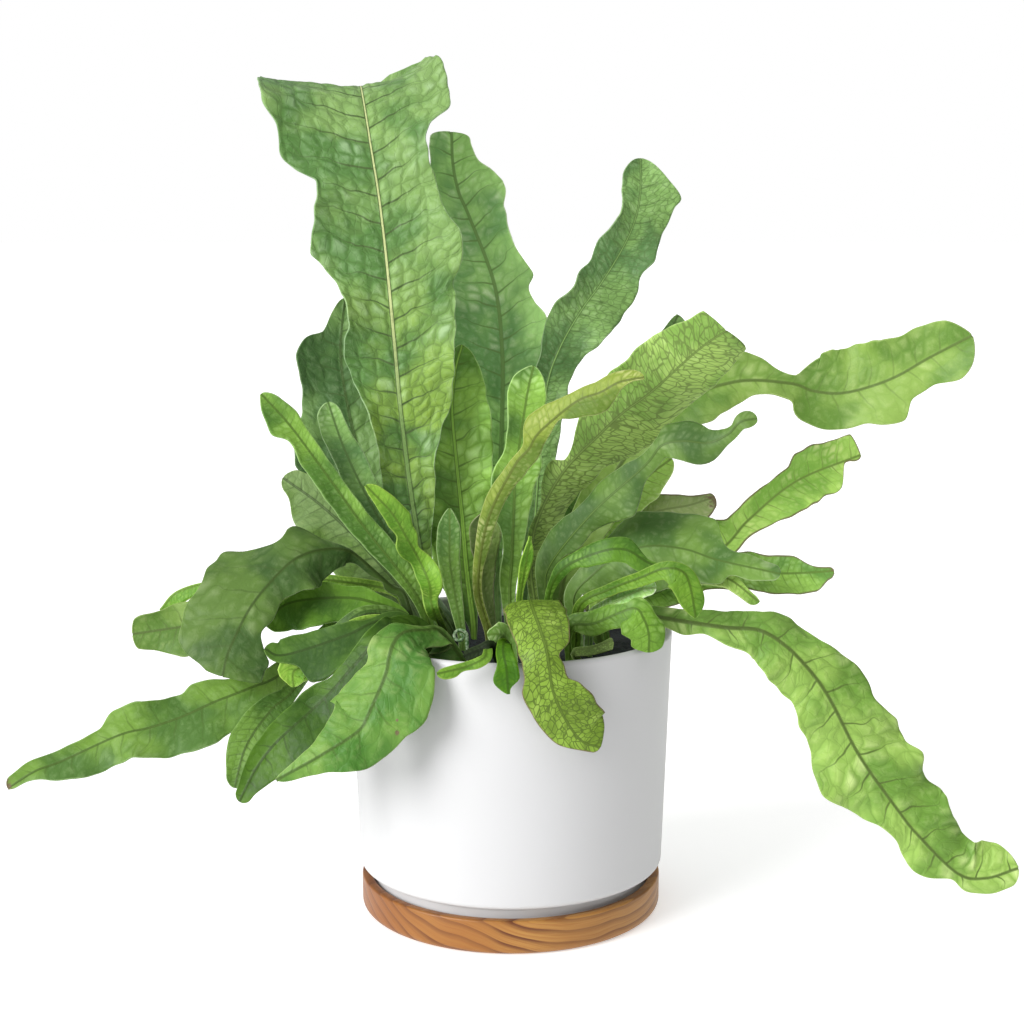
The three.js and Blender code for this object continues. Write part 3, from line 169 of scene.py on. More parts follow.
# The fronds, as the frame has them: a frond stands at root (x, y) in the soil and follows the points of
# its rib. left and right give each margin as [share of the length, half width], and facing is the way its
# front looks, at even shares of the length. cup lifts both margins, and wave is [height, count, start] of
# the ripple along them. tip is the share of the length that the tip rounds off, and corners is how far the
# two corners of the end rise.
FRONDS = [
    dict(name="front_hanging", tone="mottled", root=[15, -40],
         rib=[[9.5, -42, 155], [9, -50, 165], [10, -63.5, 164.5], [13.5, -78, 157.5],
          [16.5, -87.5, 148.5], [20, -89.5, 129], [30.5, -88, 110], [40.5, -87, 105]],
         left=[[0, 2], [0.1, 2], [0.31, 12.5], [0.46, 14.5], [0.61, 11], [0.64, 5.5], [0.675, 6.5],
          [0.72, 8], [0.745, 12.5], [0.81, 15.5], [0.97, 15.5], [1, 9]],
         right=[[0, 2], [0.1, 2], [0.36, 10.5], [0.4, 13], [0.7, 12], [0.745, 13.5], [0.9, 9.5],
          [0.95, 4], [1, 3]],
         facing=[[0, 0.3, 1], [0, -0.3, 1], [0, -1, 0.4], [0, -1, 0.1], [0.05, -1, 0.05]],
         tip=0.02, cup=-2, wave=[1.5, 4, 0]),
    dict(name="rim_small_left", tone="lime", root=[-13, -54],
         rib=[[-11.5, -75, 147.5], [-12, -87, 146.5], [-20, -89, 143], [-33, -92, 140.5]],
         left=[[0, 2], [0.74, 3], [0.84, 1.5], [0.9, 3.5], [1, 3.5]],
         right=[[0, 2], [0.2, 2], [0.44, 0.5], [0.81, 2.5], [1, 2]],
         facing=[[0, -0.6, 1], [0, -1, 0.7]],
         tip=0.06, cup=1),
    dict(name="rim_small_right", tone="lime", root=[3, -57],
         rib=[[-2.5, -70, 149.5], [-3.5, -81, 148.5], [-2, -88, 142.5], [-1, -89, 130.5]],
         left=[[0, 2], [0.34, 2], [0.9, 5.5], [0.96, 2], [1, 1.5]],
         right=[[0, 2], [0.755, 3.5], [0.91, 6.5], [1, 4]],
         facing=[[0, -0.5, 1], [0, -1, 0.2]],
         tip=0.12, cup=1),
    dict(name="soil_leaf", tone="olive", root=[33, -45],
         rib=[[30, -47, 140], [38, -50, 142.5], [48, -52, 146.5]],
         left=[[0, 2], [0.365, 2], [0.845, 1], [1, 2]],
         right=[[0, 2], [0.365, 2], [0.61, 4], [0.97, 5], [1, 4]],
         facing=[[0, -1, 1.2]],
         tip=0.03, cup=1),
    dict(name="right_front_lobe", tone="mottled_light", root=[28, -33],
         rib=[[29, -36, 149.5], [39.5, -42.5, 152.5], [57, -50.5, 161.5], [62, -53.5, 157.5],
          [64.5, -54.5, 150], [64.5, -55, 141.5]],
         left=[[0, 2], [0.17, 2], [0.42, 6.5], [0.565, 6.5], [0.7, 3.5], [0.745, 6], [0.83, 6],
          [0.885, 8.5], [1, 5.5]],
         right=[[0, 2], [0.17, 2], [0.255, 1], [0.465, 5.5], [0.58, 6], [0.85, 12], [0.93, 8.5],
          [0.98, 8], [1, 4]],
         facing=[[0, -1, 0.6], [0, -1, 0.6], [0.1, -1, 0.3]],
         tip=0.04, cup=-1.5, wave=[1, 3, 0]),
    dict(name="bright_lobe", tone="lime", root=[31, -24],
         rib=[[33, -30.5, 158.5], [46, -39, 168], [60.5, -49.5, 176], [71.5, -55, 181.5], [80, -57, 180],
          [83.5, -59, 172], [85.5, -61, 159.5]],
         left=[[0, 2], [0.795, 3.5], [0.93, 5.5], [1, 3]],
         right=[[0, 2], [0.73, 5], [0.8, 10], [0.92, 7], [1, 3]],
         facing=[[0, -1, 0.5], [0, -1, 0.2]],
         tip=0.05, cup=1, wave=[1, 2, 0]),
    dict(name="dark_low", tone="dark", root=[-5, -48],
         rib=[[-9, -52.5, 144.5], [-14.5, -54, 142.5], [-22, -56.5, 140]],
         left=[[0, 2], [0.37, 2], [0.96, 3.5], [1, 2.5]],
         right=[[0, 2], [0.37, 2], [0.895, 2.5], [1, 2]],
         facing=[[0, -1, 0.6]],
         tip=0.06, cup=1),
    dict(name="front_left_big", tone="light", root=[-23, -44],
         rib=[[-33.5, -44, 149], [-40, -52.5, 151.5], [-49, -63, 153], [-53.5, -71.5, 150],
          [-55.5, -75.5, 144], [-57, -77.5, 136.5], [-64, -84, 120.5], [-69.5, -86, 112],
          [-86.5, -89, 101.5], [-106.5, -88, 90]],
         left=[[0, 2], [0.095, 2], [0.145, 13], [0.35, 12.5], [0.565, 25], [0.62, 24.5], [0.7, 17],
          [0.79, 14], [0.86, 7.5], [0.97, 3], [1, 1]],
         right=[[0, 2], [0.3, 4], [0.36, 9], [0.47, 11], [0.495, 10], [0.63, 18.5], [0.7, 19],
          [0.76, 13.5], [0.85, 7], [1, 1]],
         facing=[[0.3, -0.3, 1], [0, -0.7, 1], [-0.2, -1, 0.6], [-0.25, -1, 0.3], [-0.2, -1, 0.2]],
         tip=0.015, cup=-3, wave=[1.5, 4, 0]),
    dict(name="wavy_front_right", tone="mid", root=[21, -22],
         rib=[[18, -25, 160], [24.5, -32, 176.5], [43, -41.5, 187], [54.5, -43.5, 188], [63.5, -46, 183],
          [73.5, -49, 179]],
         left=[[0, 2], [0.435, 2], [0.5, 3.5], [0.805, 6], [0.85, 3.5], [0.92, 1.5], [1, 3]],
         right=[[0, 2], [0.37, 2], [0.49, 3.5], [0.58, 3], [0.645, 5.5], [0.95, 5.5], [1, 2.5]],
         facing=[[0, -1, 0.5]],
         tip=0.03, cup=-1, wave=[1, 3, 0]),
    dict(name="grey_small", tone="blue", root=[2, -47],
         rib=[[-1.5, -43.5, 144], [-5, -46, 148], [-11, -48.5, 148.5]],
         left=[[0, 2], [0.395, 2], [0.92, 4.5], [1, 3.5]],
         right=[[0, 2], [0.395, 2], [0.85, 6], [0.915, 3.5], [1, 2.5]],
         facing=[[0, -1, 0.4]],
         tip=0.06, cup=1),
    dict(name="young_left", tone="lime", root=[-31, -14],
         rib=[[-37, -48, 161.5], [-39, -28.5, 168.5], [-43.5, -21, 177.5], [-50, -24, 190.5],
          [-57, -26, 203], [-69, -28, 216.5]],
         left=[[0, 2], [0.315, 1], [0.375, 3], [0.62, 5], [0.68, 4.5], [0.72, 7], [0.765, 6.5], [0.79, 4],
          [0.845, 5], [1, 1.5]],
         right=[[0, 2], [0.42, 3], [0.61, 7], [0.66, 6], [0.72, 3], [0.765, 5.5], [0.8, 5.5], [0.84, 7],
          [1, 3.5]],
         facing=[[0.1, -1, 0.1], [0.1, -1, 0.2]],
         tip=0.04, cup=2, wave=[1.5, 3, 0]),
    dict(name="pale_leaf", tone="pale", root=[38, -20],
         rib=[[39.5, -26.5, 152.5], [48.5, -34, 160], [61, -41.5, 168.5], [68.5, -44, 170]],
         left=[[0, 2], [0.56, 3.5], [0.905, 6], [1, 4]],
         right=[[0, 2], [0.54, 2], [0.87, 5], [1, 3]],
         facing=[[0, -1, 0.6]],
         tip=0.04, cup=1),
    dict(name="low_left_middle", tone="mid", root=[-30, -38],
         rib=[[-44.5, -35, 148.5], [-53, -51.5, 152.5], [-62, -59.5, 148], [-72.5, -60.5, 137],
          [-82, -62, 126], [-91.5, -62, 116.5], [-100.5, -66, 109], [-110, -69, 100.5], [-118, -72, 90],
          [-125.5, -75, 75.5]],
         left=[[0, 2], [0.375, 4.5], [0.465, 8.5], [0.57, 11], [0.69, 17], [0.845, 14.5], [0.96, 5.5],
          [1, 4]],
         right=[[0, 2], [0.09, 2], [0.26, 8], [0.56, 5], [0.63, 8.5], [0.805, 8], [1, 3]],
         facing=[[0.3, -0.5, 1], [-0.1, -1, 0.8], [-0.2, -1, 0.4]],
         tip=0.02, cup=2, wave=[1.5, 4, 2]),
    dict(name="right_hanging", tone="light", root=[44, -11],
         rib=[[42.5, -14, 146], [54, -20, 152], [67, -29, 153], [83, -34, 151.5], [103, -39, 149.5],
          [118, -42, 149], [130, -45, 142], [142, -48, 130], [150.5, -50, 118], [165.5, -52, 90],
          [183, -54, 65.5], [193, -55, 53], [213, -55, 33.5], [226.5, -55, 31], [242, -55, 36]],
         left=[[0, 2], [0.05, 2], [0.105, 7.5], [0.19, 6], [0.25, 6.5], [0.305, 9], [0.37, 9.5],
          [0.385, 12.5], [0.415, 14], [0.455, 14], [0.505, 19.5], [0.54, 21.5], [0.58, 20], [0.62, 25],
          [0.665, 23], [0.7, 26], [0.73, 21.5], [0.79, 23], [0.81, 20], [0.865, 16.5], [0.95, 17],
          [1, 11.5]],
         right=[[0, 2], [0.05, 2], [0.185, 7], [0.22, 4.5], [0.255, 6.5], [0.29, 4.5], [0.33, 9.5],
          [0.385, 13], [0.44, 17.5], [0.5, 15], [0.545, 18.5], [0.6, 18.5], [0.655, 25], [0.7, 18.5],
          [0.78, 9.5], [0.835, 12.5], [0.86, 11.5], [0.895, 4], [0.92, 6.5], [0.96, 8], [1, 6]],
         facing=[[0, -1, 0.9], [0, -1, 0.7], [0, -1, 0.35], [0, -1, 0.15]],
         tip=0.02, cup=-3, wave=[2.5, 9, 0]),
    dict(name="low_left_outer", tone="mid", root=[-51, -12],
         rib=[[-50.5, -13, 148], [-63, -16, 153], [-75.5, -19, 151], [-89, -21, 137.5],
          [-100, -25, 122.5], [-107.5, -31, 114], [-115, -36, 108.5], [-126, -46, 93.5], [-131, -53, 75]],
         left=[[0, 2], [0.095, 2], [0.27, 4], [0.37, 2.5], [0.655, 3.5], [0.73, 8], [0.79, 9.5],
          [0.91, 4.5], [1, 2.5]],
         right=[[0, 2], [0.47, 4], [0.58, 5.5], [0.67, 5], [0.765, 8.5], [0.86, 9.5], [1, 4]],
         facing=[[0.3, -0.5, 1], [-0.1, -1, 0.8], [-0.2, -1, 0.4]],
         tip=0.03, cup=2, wave=[1.5, 4, 0]),
    dict(name="young_blade", tone="lime", root=[4, -12],
         rib=[[4.5, -13, 158.5], [6.5, -15, 172], [9.5, -17, 190]],
         left=[[0, 2], [0.61, 2], [0.77, 3], [1, 1.5]],
         right=[[0, 2], [0.61, 1.5], [0.87, 3.5], [1, 1]],
         facing=[[0.3, -1, 0.2]],
         tip=0.2, cup=2),
    dict(name="pale_twisting", tone="lime", root=[-10, -10],
         rib=[[-16, -10, 164.5], [-11, -14, 197.5], [1.5, -20, 224], [8.5, -23, 233], [14, -26, 242],
          [30.5, -32, 256.5], [42, -35, 261.5], [51, -37, 266.5], [62, -40, 269]],
         left=[[0, 2], [0.3, 3], [0.49, 5], [0.6, 3], [0.65, 4.5], [0.7, 10], [0.805, 5.5], [0.93, 6],
          [1, 4]],
         right=[[0, 2], [0.27, 2], [0.35, 4], [0.52, 4.5], [0.58, 6.5], [0.7, 4.5], [0.755, 2], [0.78, 5],
          [0.84, 9], [0.88, 9], [0.9, 6.5], [0.97, 1], [1, 1]],
         facing=[[0, -1, 0.1], [-0.2, -1, 0.2], [-0.1, -1, 0.5]],
         tip=0.03, cup=-2, wave=[1.5, 5, 0], underside=True),
    dict(name="left_narrow_low", tone="mid", root=[-38, -6],
         rib=[[-47.5, -9, 161], [-71, -11, 193], [-84.5, -13, 213], [-97, -14, 231], [-107.5, -15, 245.5],
          [-119.5, -16, 259]],
         left=[[0, 2], [0.285, 3.5], [0.545, 7], [0.77, 7], [0.84, 5], [0.895, 9.5], [1, 2.5]],
         right=[[0, 2], [0.09, 2], [0.28, 5], [0.36, 7], [0.61, 5], [0.835, 5.5], [0.895, 6.5], [1, 4]],
         facing=[[0.1, -1, 0.2]],
         tip=0.04, cup=3, wave=[1.5, 5, 0]),
    dict(name="sliver_left", tone="dark", root=[-44, -16],
         rib=[[-50, -20, 149], [-62, -25, 153], [-74.5, -28, 151], [-92, -31, 127], [-97.5, -31, 122]],
         left=[[0, 2], [0.49, 4], [0.68, 2.5], [0.855, 4], [1, 2.5]],
         right=[[0, 2], [0.58, 2.5], [0.755, 4], [1, 3]],
         facing=[[0.2, -1, 0.8]],
         tip=0.03, cup=1),
    dict(name="dark_arch_left", tone="blue", root=[-47, 3],
         rib=[[-53.5, 9, 156], [-60.5, 9.5, 160.5], [-76.5, 7, 175.5], [-83, 4, 179.5], [-91.5, 0, 180.5],
          [-101, -6, 179], [-110, -13, 174], [-124.5, -28, 158], [-134, -39, 139], [-137, -43, 127]],
         left=[[0, 2], [0.27, 3.5], [0.29, 1.5], [0.33, 3], [0.39, 3.5], [0.44, 8.5], [0.63, 19],
          [0.67, 14], [0.72, 10], [0.785, 12], [0.85, 11], [0.895, 15.5], [0.92, 19.5], [1, 17.5]],
         right=[[0, 2], [0.4, 1], [0.49, 5.5], [0.54, 16.5], [0.56, 17], [0.59, 14], [0.615, 15.5],
          [0.65, 23.5], [0.68, 32], [0.72, 31.5], [0.755, 31.5], [0.81, 28.5], [0.85, 30], [0.935, 25.5],
          [0.96, 20], [0.975, 13.5], [1, 7]],
         facing=[[0.3, -1, 0.6], [-0.1, -1, 0.6], [-0.3, -1, 0.4], [-0.1, -1, 0.15]],
         tip=0.008, cup=-3, wave=[1.5, 5, 0]),
    dict(name="grey_narrow", tone="blue", root=[-24, -4],
         rib=[[-28, -2, 160.5], [-30, -3, 175.5], [-30, -3, 188], [-30, -3, 201.5]],
         left=[[0, 2], [0.185, 2], [0.83, 6.5], [1, 3]],
         right=[[0, 2], [0.185, 2], [0.84, 5.5], [1, 2.5]],
         facing=[[0, -1, 0.2]],
         tip=0.1, cup=2, wave=[1, 2, 0]),
    dict(name="curl_left", tone="lime", root=[-43, -24],
         rib=[[-51.5, -28, 150], [-66.5, -33, 153], [-79, -36, 149], [-98, -40, 132.5],
          [-103.5, -41, 128.5], [-103.5, -42, 121.5]],
         left=[[0, 2], [0.81, 1.5], [0.87, 3.5], [0.94, 8], [1, 5]],
         right=[[0, 2], [0.6, 2], [0.87, 5], [0.93, 8], [0.97, 4], [1, 3]],
         facing=[[0.1, -1, 0.6], [0, -1, 0.3]],
         tip=0.05, cup=2),
    dict(name="left_narrow_high", tone="dark", root=[-36, 2],
         rib=[[-46.5, 3, 158.5], [-56, 1, 179], [-66, 0, 198], [-75, -1, 216], [-82.5, -1, 233.5],
          [-89, -1, 253.5]],
         left=[[0, 2], [0.315, 2], [0.595, 8], [0.78, 7], [0.92, 8], [1, 7]],
         right=[[0, 2], [0.105, 2], [0.77, 8], [0.925, 5], [1, 4.5]],
         facing=[[0.1, -1, 0.2]],
         tip=0.05, cup=3, wave=[1.5, 5, 1.6]),
    dict(name="tall_front", tone="mid", root=[-30, 10],
         rib=[[-40, 9, 153], [-46, 10, 183], [-50.5, 11, 213.5], [-54.5, 13, 248], [-58, 16, 287.5],
          [-61, 20, 319], [-64.5, 26, 348.5], [-69.5, 36, 377.5], [-74, 50, 400.5], [-76.5, 66, 408],
          [-77.5, 86, 405.5]],
         left=[[0, 2], [0.2, 5.5], [0.27, 13], [0.345, 13.5], [0.405, 17], [0.475, 24.5], [0.51, 24.5],
          [0.54, 21], [0.595, 25.5], [0.63, 33.5], [0.645, 36.5], [0.755, 29.5], [0.78, 39], [0.8, 44.5],
          [0.84, 44.5], [0.88, 50.5], [1, 51.5]],
         right=[[0, 2], [0.045, 2], [0.19, 6], [0.26, 11.5], [0.32, 14.5], [0.36, 19], [0.41, 26],
          [0.56, 32.5], [0.58, 31.5], [0.6, 36], [0.65, 38.5], [0.68, 32], [0.785, 27.5], [0.81, 30.5],
          [0.84, 41.5], [0.9, 43], [0.93, 42.5], [1, 32]],
         facing=[[0.1, -1, 0.1], [0.05, -1, 0.15], [0, -1, 0.2], [0, -0.5, 1]],
         tip=0.015, cup=4, wave=[3.5, 6, 0], corners=[5, 9]),
    dict(name="left_mid_dark", tone="dark", root=[-37, -31],
         rib=[[-51, -33, 152], [-64.5, -39, 152.5], [-78.5, -43, 146.5], [-107, -46, 138],
          [-116.5, -46, 141]],
         left=[[0, 2], [0.14, 2], [0.46, 6.5], [0.735, 17.5], [0.83, 15.5], [0.85, 8.5], [0.89, 5],
          [1, 1.5]],
         right=[[0, 2], [0.41, 3.5], [0.51, 2.5], [0.59, 6], [0.905, 8], [1, 4]],
         facing=[[0.1, -1, 0.7]],
         tip=0.02, cup=2, wave=[1.5, 3, 1]),
    dict(name="blue_wavy", tone="blue", root=[20, -4],
         rib=[[17, -6, 161], [20, -9, 175.5], [40, -20, 202.5], [63, -32, 226], [71, -36, 236.5],
          [81, -39, 239], [92, -42, 238.5], [101, -45, 243], [106.5, -47, 249], [114, -48, 250.5]],
         left=[[0, 2], [0.24, 4.5], [0.295, 8.5], [0.38, 10.5], [0.455, 7.5], [0.55, 9.5], [0.72, 4],
          [0.74, 5], [0.76, 10], [0.83, 9.5], [0.935, 2], [0.965, 4.5], [1, 5]],
         right=[[0, 2], [0.325, 3], [0.38, 6.5], [0.46, 6.5], [0.56, 14.5], [0.595, 12], [0.645, 5.5],
          [0.71, 5], [0.83, 10], [0.905, 4], [1, 4]],
         facing=[[-0.1, -1, 0.3], [-0.1, -1, 0.5], [0, -1, 0.5]],
         tip=0.03, cup=-3, wave=[2, 5, 0.8]),
    dict(name="small_upright", tone="mid", root=[0, -2],
         rib=[[-0.5, 1, 160], [0.5, 0, 175], [1.5, -1, 200.5], [2.5, -2, 219.5], [7.5, -4, 255],
          [11, -5, 271.5]],
         left=[[0, 2], [0.1, 2], [0.32, 5.5], [0.41, 4.5], [0.475, 7], [0.53, 12], [0.655, 11],
          [0.71, 7.5], [0.78, 7], [0.93, 9.5], [1, 5]],
         right=[[0, 2], [0.265, 3], [0.6, 9.5], [0.67, 12], [0.77, 10], [0.9, 9.5], [1, 5]],
         facing=[[0, -1, 0.1], [0.1, -1, 0.2]],
         tip=0.05, cup=3, wave=[2, 4, 0]),
    dict(name="grey_wide_right", tone="blue", root=[34, -4],
         rib=[[31, -5, 157], [40, -8, 169], [52.5, -11, 179.5], [67.5, -14, 184.5], [84.5, -17, 183.5],
          [100.5, -19, 178.5], [130, -23, 172.5]],
         left=[[0, 2], [0.1, 2], [0.425, 10], [0.53, 18], [0.61, 18.5], [0.74, 21], [0.815, 8],
          [0.895, 7], [1, 4]],
         right=[[0, 2], [0.275, 3.5], [0.36, 11], [0.555, 22.5], [0.74, 16.5], [0.77, 13.5], [0.825, 10],
          [0.84, 6], [0.915, 6], [1, 3.5]],
         facing=[[0, -1, 0.5], [0, -1, 0.7]],
         tip=0.02, cup=-2, wave=[2, 4, 0]),
    dict(name="old_brown", tone="brown", root=[-9, 8],
         rib=[[-13.5, 14, 157], [-14, 14, 172.5], [-13, 14, 185], [-11.5, 14, 198]],
         left=[[0, 2], [0.19, 2], [0.49, 4], [0.65, 3.5], [0.77, 7], [0.895, 8], [1, 4]],
         right=[[0, 2], [0.19, 2], [0.82, 8], [0.95, 6.5], [1, 3]],
         facing=[[0.1, -1, 0.2]],
         tip=0.12, cup=2, wave=[2, 2, 0]),
    dict(name="hook_right", tone="light", root=[44, 0],
         rib=[[44, -5.5, 156], [63.5, -10, 162], [87.5, -14, 167], [104, -17, 169.5], [120.5, -20, 158]],
         left=[[0, 2], [0.125, 2], [0.48, 6.5], [0.835, 4], [0.92, 2], [1, 1.5]],
         right=[[0, 2], [0.685, 2], [0.82, 5], [1, 3.5]],
         facing=[[0, -1, 0.6]],
         tip=0.03, cup=1),
    dict(name="left_mid_light", tone="mid", root=[-46, -6],
         rib=[[-54.5, -3.5, 148.5], [-66, -5, 154], [-82, -5, 157], [-108.5, -8, 155], [-121, -10, 145]],
         left=[[0, 2], [0.145, 2], [0.53, 11.5], [0.66, 13.5], [0.75, 16.5], [0.94, 12], [1, 5]],
         right=[[0, 2], [0.38, 4], [0.5, 7], [0.57, 6], [0.67, 8], [0.79, 5.5], [0.86, 2.5], [1, 2]],
         facing=[[0.1, -1, 0.7]],
         tip=0.015, cup=2, wave=[1.5, 3, 0]),
    dict(name="wide_patterned", tone="olive", root=[14, 8],
         rib=[[10, 8, 168.5], [12.5, 6, 192], [25, 1, 218], [43.5, -7, 239], [54.5, -11, 250],
          [67, -16, 260], [88, -28, 281], [100, -35, 290.5]],
         left=[[0, 2], [0.33, 2.5], [0.39, 1.5], [0.44, 6], [0.49, 7], [0.51, 3], [0.555, 6], [0.61, 13],
          [0.67, 14.5], [0.72, 18.5], [0.8, 20.5], [0.94, 15], [1, 14]],
         right=[[0, 2], [0.07, 2], [0.26, 7.5], [0.39, 13.5], [0.48, 15.5], [0.54, 15.5], [0.64, 24],
          [0.76, 20], [0.81, 23], [1, 17.5]],
         facing=[[0.15, -1, 0.05], [0.2, -1, -0.1], [0.2, -1, -0.3]],
         tip=0.01, cup=-4, wave=[2.5, 5, 2.2], underside=True),
    dict(name="upright_mid", tone="mid", root=[-19, 20],
         rib=[[-22.5, 23, 165.5], [-24.5, 24, 191], [-27.5, 26, 221.5], [-29.5, 28, 246.5],
          [-28, 30, 265.5], [-24.5, 33, 279]],
         left=[[0, 2], [0.095, 2], [0.285, 15.5], [0.615, 17], [0.765, 11.5], [1, 5]],
         right=[[0, 2], [0.095, 2], [0.315, 6.5], [0.44, 13.5], [0.72, 19.5], [0.85, 17], [0.98, 10],
          [1, 7.5]],
         facing=[[0, -1, 0.1], [0.1, -1, 0.2]],
         tip=0.08, cup=3, wave=[2.5, 5, 0]),
    dict(name="right_back_low", tone="mid", root=[48, 8],
         rib=[[41.5, 5, 150], [64.5, 5, 155], [89, 5, 164], [113, 5, 168.5], [136.5, 4, 167.5],
          [160.5, 3, 169]],
         left=[[0, 2], [0.095, 2], [0.715, 10], [0.76, 8.5], [0.87, 8.5], [0.94, 3], [1, 2]],
         right=[[0, 2], [0.095, 2], [0.51, 10.5], [0.57, 7], [0.68, 9.5], [0.935, 10], [0.98, 4.5],
          [1, 3.5]],
         facing=[[0, -1, 0.6], [0, -1, 0.4]],
         tip=0.015, cup=2, wave=[2, 4, 0], underside=True),
    dict(name="far_left", tone="mid", root=[-56, -2],
         rib=[[-56, 1.5, 148.5], [-69, 1.5, 152.5], [-80, 0, 149], [-89.5, -3.5, 140.5],
          [-112.5, -17, 121.5], [-126.5, -25, 116.5], [-143.5, -29, 110.5], [-158, -33, 104.5],
          [-173.5, -37, 100], [-188, -40, 97], [-214.5, -46, 86], [-226.5, -49, 82], [-239, -52, 74.5]],
         left=[[0, 2], [0.06, 2], [0.18, 5], [0.32, 4], [0.5, 11.5], [0.54, 16.5], [0.6, 20.5],
          [0.73, 14.5], [0.86, 12], [0.955, 3], [1, 1.5]],
         right=[[0, 2], [0.06, 2], [0.175, 4.5], [0.25, 4], [0.5, 7.5], [0.59, 12.5], [0.62, 11],
          [0.755, 13], [0.795, 6.5], [0.94, 5.5], [1, 4]],
         facing=[[0.1, -0.6, 1], [0, -1, 0.7], [0, -1, 0.45]],
         tip=0.015, cup=2, wave=[2, 7, 0]),
    dict(name="left_pale", tone="light", root=[-57, 6],
         rib=[[-56.5, 9.5, 148], [-80.5, 9.5, 154], [-105.5, 9.5, 152], [-136, 10, 145],
          [-161.5, 11, 139.5], [-190.5, 11, 135]],
         left=[[0, 2], [0.09, 2], [0.23, 4.5], [0.515, 6.5], [0.83, 16], [0.91, 11.5], [1, 7]],
         right=[[0, 2], [0.24, 3], [0.86, 12.5], [0.91, 9.5], [0.97, 8.5], [1, 6.5]],
         facing=[[0.1, -1, 0.4]],
         tip=0.015, cup=2, wave=[2, 4, 0]),
    dict(name="right_upright", tone="dark", root=[8, 26],
         rib=[[10.5, 30, 169.5], [13, 34, 200], [15, 38, 230], [18.5, 42, 258], [25, 45, 276.5],
          [35.5, 51, 294.5], [46.5, 58, 309], [56.5, 64, 324.5], [63.5, 69, 339], [67, 75, 354],
          [67.5, 82, 372.5]],
         left=[[0, 2], [0.255, 5.5], [0.55, 8], [0.635, 13.5], [0.69, 10.5], [0.715, 12.5], [0.765, 11.5],
          [0.805, 13], [0.87, 9], [0.96, 10], [1, 9]],
         right=[[0, 2], [0.055, 2], [0.49, 11], [0.54, 11], [0.59, 13.5], [0.64, 18.5], [0.755, 18.5],
          [0.78, 15.5], [0.82, 17], [0.87, 16], [0.915, 19.5], [0.93, 21.5], [0.96, 13.5], [1, 10]],
         facing=[[0.1, -1, 0.1], [0, -1, 0.2], [0.2, -1, 0.2]],
         tip=0.05, cup=2, wave=[3, 6, 0.5]),
    dict(name="left_curl", tone="lime", root=[-53, 12],
         rib=[[-57, 16, 154.5], [-86.5, 21, 160], [-122.5, 26, 161], [-151.5, 30, 158],
          [-170.5, 31, 152.5], [-180, 31, 143]],
         left=[[0, 2], [0.8, 3.5], [0.93, 6.5], [1, 2.5]],
         right=[[0, 2], [0.405, 3], [0.8, 1], [1, 1]],
         facing=[[0.1, -1, 0.5]],
         tip=0.05, cup=0),
    dict(name="far_right", tone="light", root=[24, 22],
         rib=[[28, 25, 165], [41, 28, 193], [61.5, 31, 227], [83, 32, 249], [113, 31, 260.5],
          [140, 27, 260], [151, 25, 256.5], [163.5, 22, 255.5], [176.5, 19, 258.5], [190.5, 15, 264.5],
          [205, 10, 274], [224.5, 4, 285.5]],
         left=[[0, 2], [0.05, 2], [0.19, 8.5], [0.48, 14], [0.535, 16.5], [0.61, 14.5], [0.69, 4.5],
          [0.71, 16.5], [0.755, 21.5], [0.84, 21.5], [0.9, 17], [0.97, 13.5], [1, 7]],
         right=[[0, 2], [0.05, 2], [0.18, 9.5], [0.37, 14.5], [0.48, 14.5], [0.52, 17], [0.56, 15],
          [0.64, 7], [0.7, 10.5], [0.72, 16], [0.75, 18.5], [0.79, 17.5], [0.85, 21.5], [0.87, 14],
          [0.91, 13], [0.945, 16], [0.98, 14], [1, 10.5]],
         facing=[[0, -1, 0.3], [0, -1, 0.6], [0, -1, 0.3], [0, -1, 0.2]],
         tip=0.03, cup=2, wave=[3, 7, 1]),
    dict(name="light_back_left", tone="olive", root=[-43, 20],
         rib=[[-56, 37, 152.5], [-69.5, 40.5, 167.5], [-83, 44, 181.5], [-100, 48.5, 196],
          [-118.5, 53, 208.5]],
         left=[[0, 2], [0.115, 2], [0.375, 16], [0.49, 21.5], [0.755, 16.5], [0.85, 16], [0.925, 7.5],
          [1, 4]],
         right=[[0, 2], [0.115, 2], [0.37, 5.5], [0.53, 10], [0.81, 11.5], [1, 6.5]],
         facing=[[0.1, -1, 0.3]],
         tip=0.04, cup=2, wave=[2, 3, 0], underside=True),
    dict(name="patterned_behind", tone="light", root=[25, 30],
         rib=[[28.5, 33.5, 155.5], [40.5, 36.5, 176], [55, 39.5, 193.5], [69, 43.5, 209],
          [83, 47, 219.5]],
         left=[[0, 2], [0.125, 2], [0.375, 8.5], [0.91, 8.5], [1, 6.5]],
         right=[[0, 2], [0.125, 2], [0.4, 6.5], [0.75, 10], [0.855, 11], [1, 5]],
         facing=[[0, -1, 0.4]],
         tip=0.05, cup=2, wave=[1.5, 3, 0]),
    dict(name="brown_tipped", tone="brown", root=[33, 37],
         rib=[[29.5, 37.5, 152.5], [41, 39.5, 167.5], [56.5, 41.5, 182], [74.5, 42.5, 192],
          [92.5, 44, 195.5], [105.5, 46, 199.5]],
         left=[[0, 2], [0.12, 2], [0.37, 6], [0.55, 7.5], [0.71, 9.5], [1, 2.5]],
         right=[[0, 2], [0.5, 5.5], [0.685, 10], [0.87, 9.5], [0.935, 10], [1, 4.5]],
         facing=[[0, -1, 0.6]],
         tip=0.015, cup=2, wave=[2, 4, 0]),
    dict(name="second_tall", tone="dark", root=[-7, 28],
         rib=[[-7.5, 38, 168], [-6, 42, 198.5], [-4.5, 48.5, 239.5], [-4.5, 55.5, 274.5], [-8.5, 61, 308],
          [-21.5, 67, 342.5], [-27, 71, 355], [-30, 76, 369], [-31, 84, 386]],
